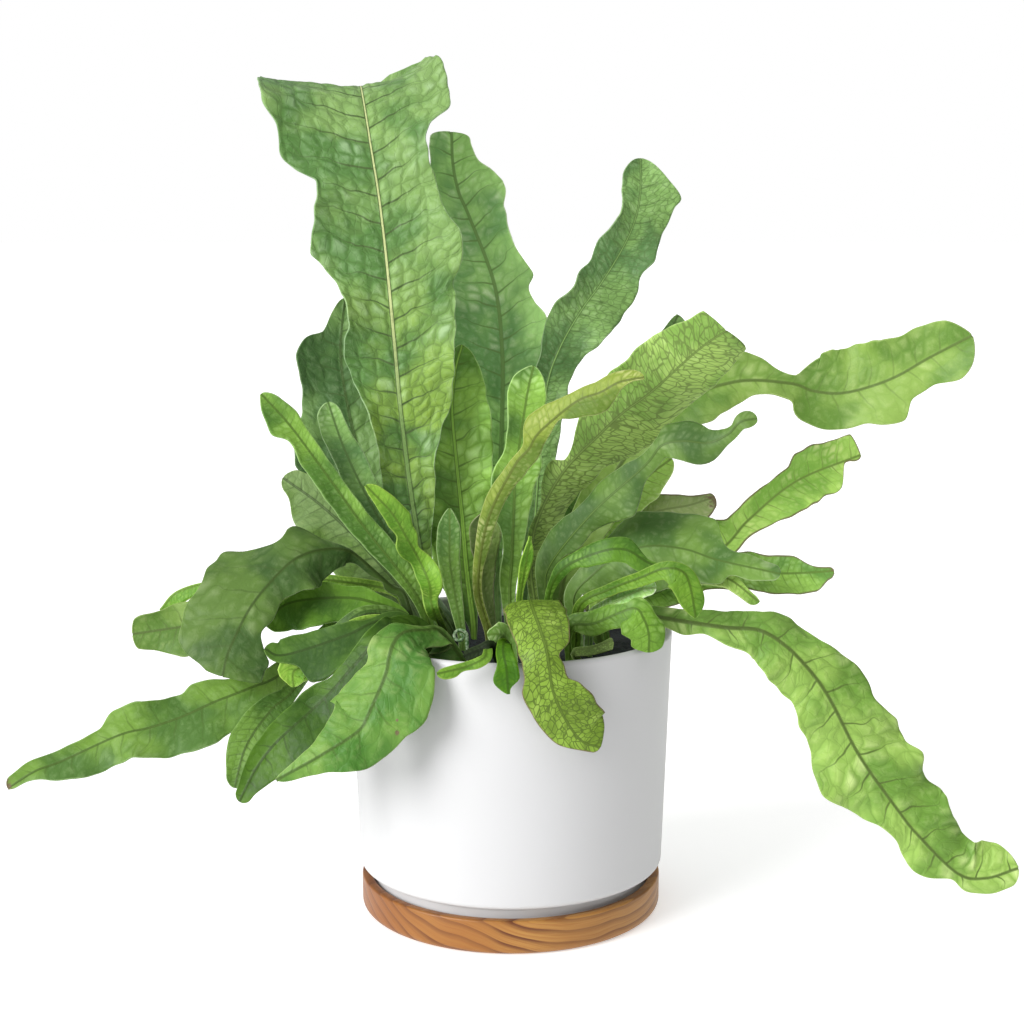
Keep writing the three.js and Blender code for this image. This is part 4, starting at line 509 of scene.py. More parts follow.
         left=[[0, 2], [0.25, 5], [0.38, 13], [0.475, 18.5], [0.6, 27.5], [0.705, 25], [0.79, 17],
          [0.87, 13], [1, 11.5]],
         right=[[0, 2], [0.215, 3.5], [0.44, 10], [0.57, 22], [0.625, 23.5], [0.65, 18.5], [0.675, 17],
          [0.695, 21], [0.74, 16], [0.82, 18.5], [0.85, 23.5], [0.9, 21.5], [0.93, 13], [1, 9]],
         facing=[[0.1, -1, 0.1], [0, -1, 0.2], [0.15, -1, 0.25]],
         tip=0.02, cup=3, wave=[3, 6, 1.5]),
    dict(name="right_up_bright", tone="light", root=[46, 26],
         rib=[[40.5, 29, 151.5], [66.5, 33, 158.5], [92.5, 38, 165.5], [110.5, 43, 174], [124, 49, 187.5],
          [150, 60, 206], [185, 72, 218]],
         left=[[0, 2], [0.31, 5], [0.43, 11], [0.575, 14], [0.6, 8.5], [0.66, 8.5], [0.8, 8.5],
          [0.83, 13], [1, 12]],
         right=[[0, 2], [0.075, 2], [0.29, 6], [0.42, 9], [0.555, 6], [0.625, 7.5], [0.765, 15],
          [0.86, 14], [0.91, 13], [0.95, 1], [0.98, 2], [1, 1.5]],
         facing=[[0, -1, 0.5], [0, -1, 0.3]],
         tip=0.01, cup=3, wave=[2, 5, 0]),
    dict(name="dark_back_left", tone="dark", root=[-30, 34],
         rib=[[-51.5, 48.5, 155.5], [-65.5, 57, 185.5], [-78.5, 65.5, 216], [-87, 76, 247],
          [-90.5, 85, 272.5], [-88.5, 94, 299.5]],
         left=[[0, 2], [0.075, 2], [0.23, 10.5], [0.43, 17], [0.56, 28.5], [0.6, 34], [0.71, 25],
          [0.77, 22], [0.82, 23.5], [0.865, 22], [0.89, 17.5], [0.905, 10], [1, 4.5]],
         right=[[0, 2], [0.075, 2], [0.43, 13.5], [0.59, 19.5], [0.86, 23], [0.965, 16.5], [1, 8]],
         facing=[[0.1, -1, 0.1], [0.1, -1, 0.3]],
         tip=0.05, cup=3, wave=[3, 5, 0.4]),
    dict(name="behind_patterned", tone="dark", root=[8, 38],
         rib=[[18.5, 47, 166], [35, 54, 196.5], [52, 62, 227], [67.5, 69, 255.5], [81.5, 75, 278.5],
          [88, 79, 291.5]],
         left=[[0, 2], [0.075, 2], [0.29, 8.5], [0.82, 10.5], [0.945, 4], [1, 3]],
         right=[[0, 2], [0.27, 3.5], [0.61, 9], [0.95, 11], [1, 8]],
         facing=[[0, -1, 0.2]],
         tip=0.06, cup=2, wave=[1.5, 3, 0]),
]


def paint(code):
    """Colour of a hex code as the shader wants it"""
    parts = [(code >> shift & 255) / 255 for shift in (16, 8, 0)]
    return tuple(((p + 0.055) / 1.055) ** 2.4 if p > 0.04045 else p / 12.92 for p in parts) + (1,)


# Leaf tone colours: flesh is the blade's own, the darker one painted shade, light painted sheen and the pale
# margin
TONES = {
    "mid": {"flesh": 0x71983A, "shade_tone": 0x446A28, "light": 0xA4C47E},
    "dark": {"flesh": 0x73984F, "shade_tone": 0x466A38, "light": 0xA6C08C},
    "light": {"flesh": 0x90B254, "shade_tone": 0x608834, "light": 0xCADE92},
    "blue": {"flesh": 0x608036, "shade_tone": 0x3C5C28, "light": 0xA0B480},
    "olive": {"flesh": 0x88A452, "shade_tone": 0x66883A, "light": 0xA6BE74},
    "lime": {"flesh": 0x7AA832, "shade_tone": 0x508020, "light": 0xB4D260},
    "pale": {"flesh": 0x88A860, "shade_tone": 0x628A44, "light": 0xBACEA0},
    "brown": {"flesh": 0x62763C, "shade_tone": 0x40502A, "light": 0x948E76},
    "mottled": {"flesh": 0x7C9C36, "shade_tone": 0x607C22, "light": 0xA8C060},
    "mottled_light": {"flesh": 0x709836, "shade_tone": 0x527A22, "light": 0xAAC878},
}

# How strongly each tone shows its laterals, the veins that cross between them and the fine net, and how
# bright its veins and its rib are against its flesh
MARKS = {
    "mid": {"lateral": 0.65, "cross": 0.25, "fine": 0.08, "vein_shade": 0.36, "rib_shade": 0.5},
    "dark": {"lateral": 0.65, "cross": 0.25, "fine": 0.08, "vein_shade": 0.36, "rib_shade": 0.45},
    "light": {"lateral": 0.6, "cross": 0.15, "fine": 0.05, "vein_shade": 0.4, "rib_shade": 0.4},
    "blue": {"lateral": 0.3, "cross": 0.06, "fine": 0, "vein_shade": 0.5, "rib_shade": 0.4},
    "olive": {"lateral": 0.5, "cross": 0.5, "fine": 0.75, "vein_shade": 0.34, "rib_shade": 0.7},
    "lime": {"lateral": 0.5, "cross": 0.2, "fine": 0.05, "vein_shade": 0.4, "rib_shade": 0.45},
    "pale": {"lateral": 0.5, "cross": 0.3, "fine": 0.1, "vein_shade": 0.45, "rib_shade": 1.1},
    "brown": {"lateral": 0.3, "cross": 0.1, "fine": 0.1, "vein_shade": 0.6, "rib_shade": 0.6},
    "mottled": {"lateral": 0.55, "cross": 0.55, "fine": 0.8, "vein_shade": 0.32, "rib_shade": 0.55},
    "mottled_light": {"lateral": 0.6, "cross": 0.3, "fine": 0.15, "vein_shade": 0.4, "rib_shade": 0.45},
}

# What is alike in all fronds unless SPECIAL says otherwise: the spacing of the laterals as a share of the
# blade's width, the size of the fine net as a share of that spacing and how far it is drawn out, how much
# brighter or darker than its tone a frond is painted, as painted light and shade, how rough its skin is, how
# high its flesh swells between the veins, how much painted shade darkens its left half against its right
# one, how much its cells differ, how strong the painted shade in its hollows is, how strong its painted
# sheen and its pale margin are, how much purer its green is, how dark the groove along its rib is, and how
# dark the painted shade at its foot is
HABIT = {
    "net_share": 0.38,
    "mesh_share": 0.33,
    "stretch": 1,
    "bright": 1,
    "rough": 0.4,
    "swell": 0.8,
    "half_shade": 0.1,
    "motley": 0.05,
    "hollow": 0.25,
    "sheen": 0.55,
    "fresh": 0,
    "margin": 0.35,
    "groove": 0.35,
    "foot_dark": 0.55,
}

# What sets single fronds apart. net and mesh are in mm, and rib_width is half the width of the rib.
# tip_dried is how far the tip has browned, edge_dried how much of the margins has, and spots are brown
# marks as (mm across, mm along, radius). bright paints light and shade onto each frond, lighter or darker
# than its tone.
SPECIAL = {
    "tall_front": {
        "flesh": 0x7D9E58, "shade_tone": 0x4A7236, "light": 0xAECA9E, "rib_paint": 0xBCC488, "vein_shade": 0.28,
        "net": 14, "mesh": 4.8, "rib_width": 1.15, "rib_shade": 0.8, "groove": 0, "swell": 1.2,
        "motley": 0, "hollow": 0.38, "lateral": 0.95, "cross": 0.42, "sheen": 0.55, "warm_foot": 0.7,
        "bright": 1.03,
    },
    "second_tall": {
        "net": 12, "rib_width": 1.1, "lateral": 0.85, "cross": 0.12, "hollow": 0.4, "bright": 2.2,
        "fresh": -0.15,
    },
    "upright_mid": {
        "net": 13, "rib_width": 1.3, "rib_shade": 1.1, "lateral": 0.85, "cross": 0.45, "hollow": 0.35,
        "bright": 1.65, "fresh": -0.1,
    },
    "right_upright": {
        "rib_width": 0.5, "rib_shade": 1.3, "mesh": 2.4, "stretch": 1.6, "fine": 0.5, "sheen": 0.25,
        "bright": 1.15, "fresh": -0.1,
    },
    "wide_patterned": {
        "mesh": 2.3, "stretch": 2.4, "net": 9, "rib_width": 0.5, "bright": 1.3, "swell": 0.3,
        "cross": 0.2, "half_shade": 0.18,
    },
    "front_hanging": {
        "mesh": 2.6, "net": 12, "edge_dried": 0.5, "fine": 0.85, "swell": 0.4, "rib_width": 0.5,
    },
    "right_hanging": {
        "net": 17, "lateral": 0.95, "cross": 0.3, "hollow": 0.45, "sheen": 0.8, "vein_shade": 0.3,
        "rib_shade": 0.28,
    },
    "far_right": {
        "net": 13, "lateral": 0.4, "cross": 0.05, "hollow": 0.12, "swell": 0.35, "bright": 0.81,
    },
    "right_up_bright": {"edge_dried": 0.8, "bright": 1.75, "lateral": 0.7, "rib_shade": 0.3},
    "right_back_low": {
        "foot_dark": 0.3, "tip_dried": 1, "edge_dried": 0.8, "bright": 1.75, "fresh": -0.2,
    },
    "brown_tipped": {"tip_dried": 3, "edge_dried": 1.2, "bright": 2.3, "fresh": -0.4},
    "old_brown": {"bright": 1.7, "fresh": 0.1},
    "dark_arch_left": {"rib_width": 0.6, "net": 15, "lateral": 0.45, "swell": 0.4, "bright": 0.8},
    "blue_wavy": {
        "rib_width": 0.25, "rib_shade": 1.4, "swell": 0.2, "sheen": 0.25, "motley": 0, "bright": 0.9,
    },
    "grey_wide_right": {
        "rib_width": 0.25, "swell": 0.2, "bright": 1.4, "sheen": 0.3, "motley": 0, "fresh": -0.1,
    },
    "dark_back_left": {"bright": 0.85, "fresh": -0.1, "sheen": 0.15},
    "far_left": {
        "rib_width": 0.35, "net": 13, "lateral": 0.45, "cross": 0.12, "hollow": 0.12, "swell": 0.35,
        "sheen": 0.2, "tip_dried": 2, "bright": 0.95, "fresh": -0.1,
    },
    "front_left_big": {
        "flesh": 0x84B24D, "shade_tone": 0x508A32, "bright": 0.65, "net": 14, "lateral": 0.5,
        "half_shade": 0.15, "spots": ((-15, 105, 1.1), (-13, 100, 0.7)),
    },
    "light_back_left": {"bright": 0.88, "flesh": 0x7E9A5E, "fine": 0.1, "cross": 0.3},
    "low_left_middle": {"bright": 0.47, "fresh": 0.6, "net": 13, "cross": 0.1, "swell": 0.4},
    "low_left_outer": {"bright": 0.75, "fresh": 0.1, "cross": 0.4},
    "left_mid_dark": {
        "bright": 0.5, "fresh": 0.55, "lateral": 0.2, "cross": 0, "swell": 0.3, "sheen": 0.3,
    },
    "left_mid_light": {
        "bright": 1.0, "fresh": 0.3, "foot_dark": 0.1, "lateral": 0.2, "cross": 0, "swell": 0.3,
        "sheen": 0.3,
    },
    "left_narrow_low": {"bright": 1.15, "lateral": 0.35, "cross": 0.12},
    "left_narrow_high": {"bright": 1.2, "foot_dark": 0.3, "lateral": 0.35, "cross": 0.12},
    "sliver_left": {"bright": 0.45, "fresh": 0.5},
    "curl_left": {"bright": 1.25, "fresh": -0.3},
    "left_curl": {"bright": 1.3, "fresh": -0.3},
    "rim_small_right": {"bright": 0.5, "fresh": 0.8},
    "rim_small_left": {"bright": 0.8},
    "bright_lobe": {"bright": 0.7},
    "wavy_front_right": {"bright": 0.72, "fresh": 0.5, "lateral": 0.4, "cross": 0.1, "swell": 0.4},
    "right_front_lobe": {"bright": 1.05, "fresh": 0.1},
    # Painted shade: dark_low is darkened to the deep shade it stands in
    "dark_low": {"bright": 0.15, "fresh": 0.2},
    "left_pale": {"bright": 0.7, "cross": 0.05, "swell": 0.3},
    "pale_twisting": {
        "flesh": 0x98AE42, "shade_tone": 0x64842C, "light": 0xE6E8A0, "bright": 0.7, "sheen": 0.95,
        "half_shade": -0.25,
    },
    "pale_leaf": {"bright": 2.5},
    "young_blade": {"bright": 1.25},
    "young_left": {"fresh": -0.1},
    "grey_small": {"bright": 2.3},
    "grey_narrow": {"bright": 1.8},
    "small_upright": {"bright": 1.45, "fresh": -0.1, "lateral": 0.4, "swell": 0.5},
    "hook_right": {"bright": 1.5},
    "patterned_behind": {"bright": 2.1, "fresh": -0.15},
    "behind_patterned": {"bright": 1.05},
}


class Wires:
    """Adds nodes to a shader or a geometry tree. A value is a number or a socket"""

    def __init__(self, tree):
        self.tree = tree

    def node(self, kind, **settings):
        node = self.tree.nodes.new(kind)
        for key, value in settings.items():
            setattr(node, key, value)
        return node

    def plug(self, socket, value):
        if isinstance(value, bpy.types.NodeSocket):
            self.tree.links.new(value, socket)
        else:
            socket.default_value = value

    def math(self, operation, *values):
        node = self.node("ShaderNodeMath", operation=operation)
        for socket, value in zip(node.inputs, values):
            self.plug(socket, value)
        return node.outputs[0]

    def vector(self, *values):
        node = self.node("ShaderNodeCombineXYZ")
        for socket, value in zip(node.inputs, values):
            self.plug(socket, value)
        return node.outputs[0]

    def apart(self, vector):
        node = self.node("ShaderNodeSeparateXYZ")
        self.plug(node.inputs[0], vector)
        return node.outputs[0], node.outputs[1], node.outputs[2]

    def noise(self, vector, scale, detail=2.0, roughness=0.5):
        node = self.node("ShaderNodeTexNoise")
        self.plug(node.inputs["Vector"], vector)
        node.inputs["Scale"].default_value = scale
        node.inputs["Detail"].default_value = detail
        node.inputs["Roughness"].default_value = roughness
        return node.outputs[0]

    def cell_edge(self, vector, randomness):
        node = self.node("ShaderNodeTexVoronoi", feature="DISTANCE_TO_EDGE")
        self.plug(node.inputs["Vector"], vector)
        node.inputs["Scale"].default_value = 1
        node.inputs["Randomness"].default_value = randomness
        return node.outputs["Distance"]

    def cell_tone(self, vector, randomness):
        node = self.node("ShaderNodeTexVoronoi", feature="F1")
        self.plug(node.inputs["Vector"], vector)
        node.inputs["Scale"].default_value = 1
        node.inputs["Randomness"].default_value = randomness
        return self.apart(node.outputs["Color"])[0]

    def ease(self, value, low, high, at_low=0.0, at_high=1.0):
        node = self.node("ShaderNodeMapRange", interpolation_type="SMOOTHSTEP")
        for socket, item in zip(node.inputs, (value, low, high, at_low, at_high)):
            self.plug(socket, item)
        return node.outputs[0]

    def mix(self, share, first, second):
        node = self.node("ShaderNodeMix", data_type="RGBA")
        self.plug(node.inputs[0], share)
        self.plug(node.inputs[6], first)
        self.plug(node.inputs[7], second)
        return node.outputs[2]


def vein_net(wires, blade, frond):
    """Distances in mm from the laterals, from the veins that cross between them and from the fine net"""
    spacing = frond["net"]
    seed = frond["seed"]
    across, along, half_width = wires.apart(blade)
    reach = wires.math("ABSOLUTE", across)
    share = wires.math("DIVIDE", reach, wires.math("MAXIMUM", half_width, 1.0))
    side = wires.math("GREATER_THAN", across, 0.0)
    place = wires.vector(across, along, seed)
    wander = wires.math("SUBTRACT", wires.noise(place, 0.08, 1.5), 0.5)
    lean = wires.math("MULTIPLY_ADD", reach, -LATERAL_LEAN, along)
    lateral = wires.math("MULTIPLY_ADD", side, LATERAL_LEAN, wires.math("DIVIDE", lean, spacing))
    lateral = wires.math("ADD", lateral, wires.math("MULTIPLY", wander, wires.math("MULTIPLY", share, 1.3)))
    middle = wires.math("ABSOLUTE", wires.math("SUBTRACT", wires.math("FRACT", lateral), 0.5))
    from_lateral = wires.math("MULTIPLY", wires.math("SUBTRACT", 0.5, middle), spacing)

    bend = wires.math("SUBTRACT", wires.noise(place, VEIN_BEND_SCALE, 1.0), 0.5)

    def net_place(size, stretch, layer):
        steps = wires.math("MULTIPLY_ADD", bend, VEIN_BEND, wires.math("DIVIDE", across, size * stretch))
        rows = wires.math("MULTIPLY_ADD", bend, -VEIN_BEND, wires.math("MULTIPLY", lateral, spacing / size))
        return wires.vector(steps, rows, seed + layer)

    cross_size = CROSS_SHARE * spacing
    cross_place = net_place(cross_size, 1.15, 0.5)
    fine_place = net_place(frond["mesh"], frond["stretch"], 0.25)
    return {
        "cell_place": cross_place,
        "across": across,
        "along": along,
        "half_width": half_width,
        "reach": reach,
        "share": share,
        "place": place,
        "lateral": from_lateral,
        "cross": wires.math("MULTIPLY", wires.cell_edge(cross_place, CROSS_RANDOM), cross_size),
        "fine": wires.math("MULTIPLY", wires.cell_edge(fine_place, 0.9), frond["mesh"]),
    }


def knots_at(knots, s):
    """Smooth curve through [station, value] knots, with the slope of the neighbours at each knot"""
    x, y = np.array(knots, float).T
    slope = np.empty(len(x))
    slope[1:-1] = (y[2:] - y[:-2]) / (x[2:] - x[:-2])
    slope[0] = (y[1] - y[0]) / (x[1] - x[0])
    slope[-1] = (y[-1] - y[-2]) / (x[-1] - x[-2])
    i = np.clip(np.searchsorted(x, s, side="right") - 1, 0, len(x) - 2)
    h = x[i + 1] - x[i]
    t = (s - x[i]) / h
    return (
        (1 + 2 * t) * (1 - t) ** 2 * y[i]
        + t * (1 - t) ** 2 * h * slope[i]
        + t * t * (3 - 2 * t) * y[i + 1]
        + t * t * (t - 1) * h * slope[i + 1]
    )


def eased(values, s):
    """Value at a station, eased between evenly spaced values"""
    values = np.array(values, float)
    if len(values) == 1:
        return np.repeat(values, len(s), axis=0)
    x = s * (len(values) - 1)
    i = np.clip(x.astype(int), 0, len(values) - 2)
    t = (x - i)[:, None]
    t = t * t * (3 - 2 * t)
    return values[i] * (1 - t) + values[i + 1] * t


def rib_curve(frond):
    """Points along the rib, from the foot of the stalk in its hole, and their distances along it"""
    x, y = frond["root"]
    soil_point = np.array([x, y, SOIL_TOP], float)
    first = np.array(frond["rib"][0], float)
    neck = soil_point + (first - soil_point) * [NECK_REACH, NECK_REACH, NECK_RISE]
    foot = soil_point - [0, 0, ROOT_DEPTH]
    points = np.vstack([foot, soil_point, neck, np.array(frond["rib"], float)])
    ends = np.vstack([2 * points[0] - points[1], points, 2 * points[-1] - points[-2]])
    t = np.arange(CURVE_STEPS)[:, None] / CURVE_STEPS
    stretches = []
    for a, b, c, d in zip(ends, ends[1:], ends[2:], ends[3:]):
        bend = (2 * a - 5 * b + 4 * c - d) * t**2 + (3 * b - a - 3 * c + d) * t**3
        stretches.append(0.5 * (2 * b + (c - a) * t + bend))
    curve = np.vstack(stretches + [points[-1:]])
    gone = np.concatenate([[0], np.cumsum(np.linalg.norm(np.diff(curve, axis=0), axis=1))])
    return curve, gone


def smooth(share):
    share = np.clip(share, 0, 1)
    return share * share * (3 - 2 * share)


def unit(vectors):
    return vectors / np.linalg.norm(vectors, axis=1)[:, None]


def blade_points(frond, s, t):
    """Points of the blade at stations s along the rib and t from -1 to 1 across it, and their blade places"""
    curve, gone = rib_curve(frond)
    length = gone[-1]
    seed = frond["seed"]

    def rib_at(share):
        return np.stack([np.interp(share * length, gone, curve[:, k]) for k in range(3)], 1)

    step = CHORD / length
    along = unit(rib_at(np.clip(s + step, 0, 1)) - rib_at(np.clip(s - step, 0, 1)))
    front = eased(frond["facing"], s)
    front = unit(front - (front * along).sum(1)[:, None] * along)
    across = np.cross(along, front)
    close = np.clip((s - 1 + frond["tip"]) / frond["tip"], 0, 1)
    rounding = np.sqrt(1 - close**2)
    margin = np.where(t < 0, knots_at(frond["left"], s), knots_at(frond["right"], s))
    grown = np.clip((s - RIPPLE_FROM) / (RIPPLE_FULL - RIPPLE_FROM), 0, 1)
    mm = s * length
    long_height, long_length = NIBBLE_LONG
    short_height, short_length = NIBBLE_SHORT
    nibble = long_height * np.sin(mm / long_length + seed + 2 * np.sign(t))
    nibble = nibble + short_height * np.sin(mm / short_length + 2 * seed)
    margin = margin + grown * nibble * np.clip(margin / RIPPLE_HALF_WIDTH, 0, 1)
    half_width = np.maximum(margin * rounding, LEAST_HALF_WIDTH)
    height, count, start = frond.get("wave", (0, 0, 0))
    offset = np.where(t > 0, RIPPLE_OFFSET, 0)
    ripple = height * np.sin(2 * np.pi * count * s + start + offset)
    frill_height, frill_length = FRILL
    frill = frill_height * np.sin(mm / frill_length + 3 * seed + offset) * t**2
    lift = grown * np.minimum(half_width / RIPPLE_HALF_WIDTH, 1) * (frond["cup"] + ripple + frill)
    left_corner, right_corner = frond.get("corners", (0, 0))
    raised = smooth((s - CORNER_FROM) / (CORNER_FULL - CORNER_FROM)) * rounding**2
    lift = t**2 * (lift + raised * np.where(t > 0, right_corner, left_corner))
    points = rib_at(s) + across * (half_width * t)[:, None] + front * lift[:, None]
    places = np.stack([half_width * t, mm, half_width], 1)
    return points * MM, places


def widest_of(frond):
    return max(v for _, v in frond["left"]) + max(v for _, v in frond["right"])


def blade_grid(frond):
    """A fine grid laid over the frond's surface, with its places on the blade kept as an attribute"""
    length = rib_curve(frond)[1][-1]
    columns = 2 * max(4, round(widest_of(frond) / GRID / 2))
    rows = max(24, round(length / GRID))
    bpy.ops.object.select_all(action="DESELECT")
    bpy.ops.mesh.primitive_grid_add(x_subdivisions=columns, y_subdivisions=rows, size=2)
    piece = bpy.context.object
    piece.name = "blade_" + frond["name"]
    mesh = piece.data
    flat = np.empty(3 * len(mesh.vertices), np.float32)
    mesh.vertices.foreach_get("co", flat)
    flat = flat.reshape(-1, 3)
    t = flat[:, 0].astype(float)
    v = (flat[:, 1].astype(float) + 1) / 2
    plain = 1 - TIP_ROWS / rows
    over = np.clip((v - plain) / (1 - plain), 0, 1)
    tip = frond["tip"]
    s = np.where(v < plain, v / plain * (1 - tip), 1 - tip + tip * np.sin(np.pi / 2 * over))
    points, places = blade_points(frond, s, t)
    mesh.vertices.foreach_set("co", points.astype(np.float32).ravel())
    attribute = mesh.attributes.new("blade", "FLOAT_VECTOR", "POINT")
    attribute.data.foreach_set("vector", places.astype(np.float32).ravel())
    stalk = 1 - smooth(s / STALK_SHARE)
    near_rib = smooth(1.5 - np.abs(places[:, 0]) / frond["rib_width"]) * (1 - RIB_TAPER * s)
    thickness = BLADE_THICKNESS + (RIB_THICKNESS - BLADE_THICKNESS) * near_rib
    thickness = thickness + (STALK_THICKNESS - thickness) * stalk
    group = piece.vertex_groups.new(name="thickness")
    levels = np.round(thickness / STALK_THICKNESS, 2)
    for level in np.unique(levels):
        group.add(np.flatnonzero(levels == level).tolist(), float(level), "REPLACE")
    mesh.update()
    return piece


def shift_points(piece, offset_of):
    """Moves the points of a piece by an offset that offset_of works out, and applies it"""
    tree = bpy.data.node_groups.new(piece.name + "_relief", "GeometryNodeTree")
    for way in ("INPUT", "OUTPUT"):
        tree.interface.new_socket("Geometry", in_out=way, socket_type="NodeSocketGeometry")
    wires = Wires(tree)
    place = wires.node("GeometryNodeSetPosition")
    wires.plug(place.inputs["Geometry"], wires.node("NodeGroupInput").outputs[0])
    wires.plug(place.inputs["Offset"], offset_of(wires))
    wires.plug(wires.node("NodeGroupOutput").inputs[0], place.outputs[0])
    relief = piece.modifiers.new("relief", "NODES")
    relief.node_group = tree
    bpy.ops.object.modifier_apply(modifier="relief")


def cell_offset(wires, frond):
    """Raises the flesh between the veins, with the same net that the finish paints"""
    named = wires.node("GeometryNodeInputNamedAttribute", data_type="FLOAT_VECTOR")
    named.inputs["Name"].default_value = "blade"
    net = vein_net(wires, named.outputs["Attribute"], frond)
    pillow = wires.ease(net["lateral"], 0.0, 0.4 * frond["net"], 0.0, PILLOW_SHARE * frond["net"])
    cell = wires.ease(net["cross"], 0.0, CELL_SLOPE * frond["net"], 0.0, CELL_SHARE * frond["net"])
    height = wires.math("MULTIPLY", wires.math("ADD", pillow, cell), wires.ease(net["reach"], 0.8, 3.5))
    swell = wires.math("SUBTRACT", wires.noise(net["place"], 0.05, 1.5), 0.5)
    height = wires.math("MULTIPLY_ADD", swell, SWELL_HEIGHT, height)
    wide = wires.ease(net["half_width"], 3.0, 12.0)
    grown = wires.math("MULTIPLY", wide, wires.ease(net["along"], 25.0, 60.0))
    height = wires.math("MULTIPLY", height, wires.math("MULTIPLY", grown, frond["swell"]))
    sign = -MM if frond.get("underside") else MM
    offset = wires.node("ShaderNodeVectorMath", operation="SCALE")
    wires.plug(offset.inputs[0], wires.node("GeometryNodeInputNormal").outputs[0])
    wires.plug(offset.inputs["Scale"], wires.math("MULTIPLY", height, sign))
    return offset.outputs[0]


def thicken(piece):
    wall = piece.modifiers.new("wall", "SOLIDIFY")
    wall.thickness = STALK_THICKNESS * MM
    wall.offset = 0
    wall.vertex_group = "thickness"
    bpy.ops.object.modifier_apply(modifier="wall")
    bpy.ops.object.shade_smooth()


def new_finish(name):
    material = bpy.data.materials.new(name)
    material.use_nodes = True
    shader = material.node_tree.nodes["Principled BSDF"]
    return material, Wires(material.node_tree), shader


def bump(wires, shader, height, distance, strength=1.0):
    node = wires.node("ShaderNodeBump")
    node.inputs["Strength"].default_value = strength
    node.inputs["Distance"].default_value = distance
    wires.plug(node.inputs["Height"], height)
    wires.plug(shader.inputs["Normal"], node.outputs[0])


def shaded(colour, share):
    return tuple(min(c * share, 1) for c in colour[:3]) + (1,)


def tinted(frond, key):
    """A colour of the frond's tone, lighter or darker by the frond's painted light and shade, and as fresh a
    green as this frond is
    """
    red, green, blue, _ = paint(frond[key])
    fade = 1 - frond["fresh"]
    return shaded((red * (fade + 2) / 3, green, blue * fade), frond["bright"])


def leaf_colour(frond, wires, net, flesh, shade_tone, light, length):
    """Flesh with painted light and shade: darker and paler stretches, one half darker, shade in the hollows
    along its veins, sheen on the swollen flesh and shade at its foot; and cells that differ a little
    """
    if "warm_foot" in frond:
        red, green, blue, _ = flesh
        warm = (1.22 * red, 1.13 * green, 0.3 * blue, 1)
        low = wires.ease(net["along"], 0.35 * length, 0.7 * length, frond["warm_foot"], 0.0)
        flesh = wires.mix(low, flesh, warm)
    # Painted shade: one half of the blade darker than the other
    half = 0.5 * frond["half_shade"]
    side = wires.ease(net["across"], -4.0, 4.0, -half, half)
    cell_tone = wires.math("SUBTRACT", wires.cell_tone(net["cell_place"], CROSS_RANDOM), 0.5)
    # Painted light and shade: broad stretches mixed between the shade colour and the flesh
    drift = wires.math("ADD", wires.noise(net["place"], 0.035, 2.0), side)
    tone = wires.math("MULTIPLY_ADD", cell_tone, frond["motley"], drift)
    colour = wires.mix(wires.ease(tone, 0.36, 0.6, 0.08, 1.0), shade_tone, flesh)
    # Painted shade in the hollows along the veins and between the cells
    pillow = wires.ease(net["lateral"], 0.0, 0.28 * frond["net"])
    cell = wires.ease(net["cross"], 0.0, 1.4 * CELL_SLOPE * frond["net"])
    swollen = wires.math("MULTIPLY", wires.math("MULTIPLY_ADD", pillow, 0.6, 0.4), cell)
    depth = wires.ease(net["along"], 0.3 * length, 0.75 * length, frond["hollow"], 0.5 * frond["hollow"])
    hollow = wires.math("MULTIPLY", wires.math("SUBTRACT", 1.0, swollen), depth)
    colour = wires.mix(hollow, colour, shade_tone)
    # Painted sheen: pale patches on the swollen flesh
    sheen = wires.noise(wires.vector(net["along"], net["across"], frond["seed"] + 0.5), 0.045, 2.0, 0.5)
    sheen = wires.math("MULTIPLY_ADD", cell_tone, frond["motley"], sheen)
    glow = wires.math("MULTIPLY", wires.ease(sheen, 0.48, 0.75, 0.0, frond["sheen"]), swollen)
    colour = wires.mix(glow, colour, light)
    # Painted shade at the foot of the stalk
    foot = wires.ease(net["along"], FOOT_FROM, FOOT_FULL, frond["foot_dark"], 0.0)
    return wires.mix(foot, colour, shaded(shade_tone, 0.5))


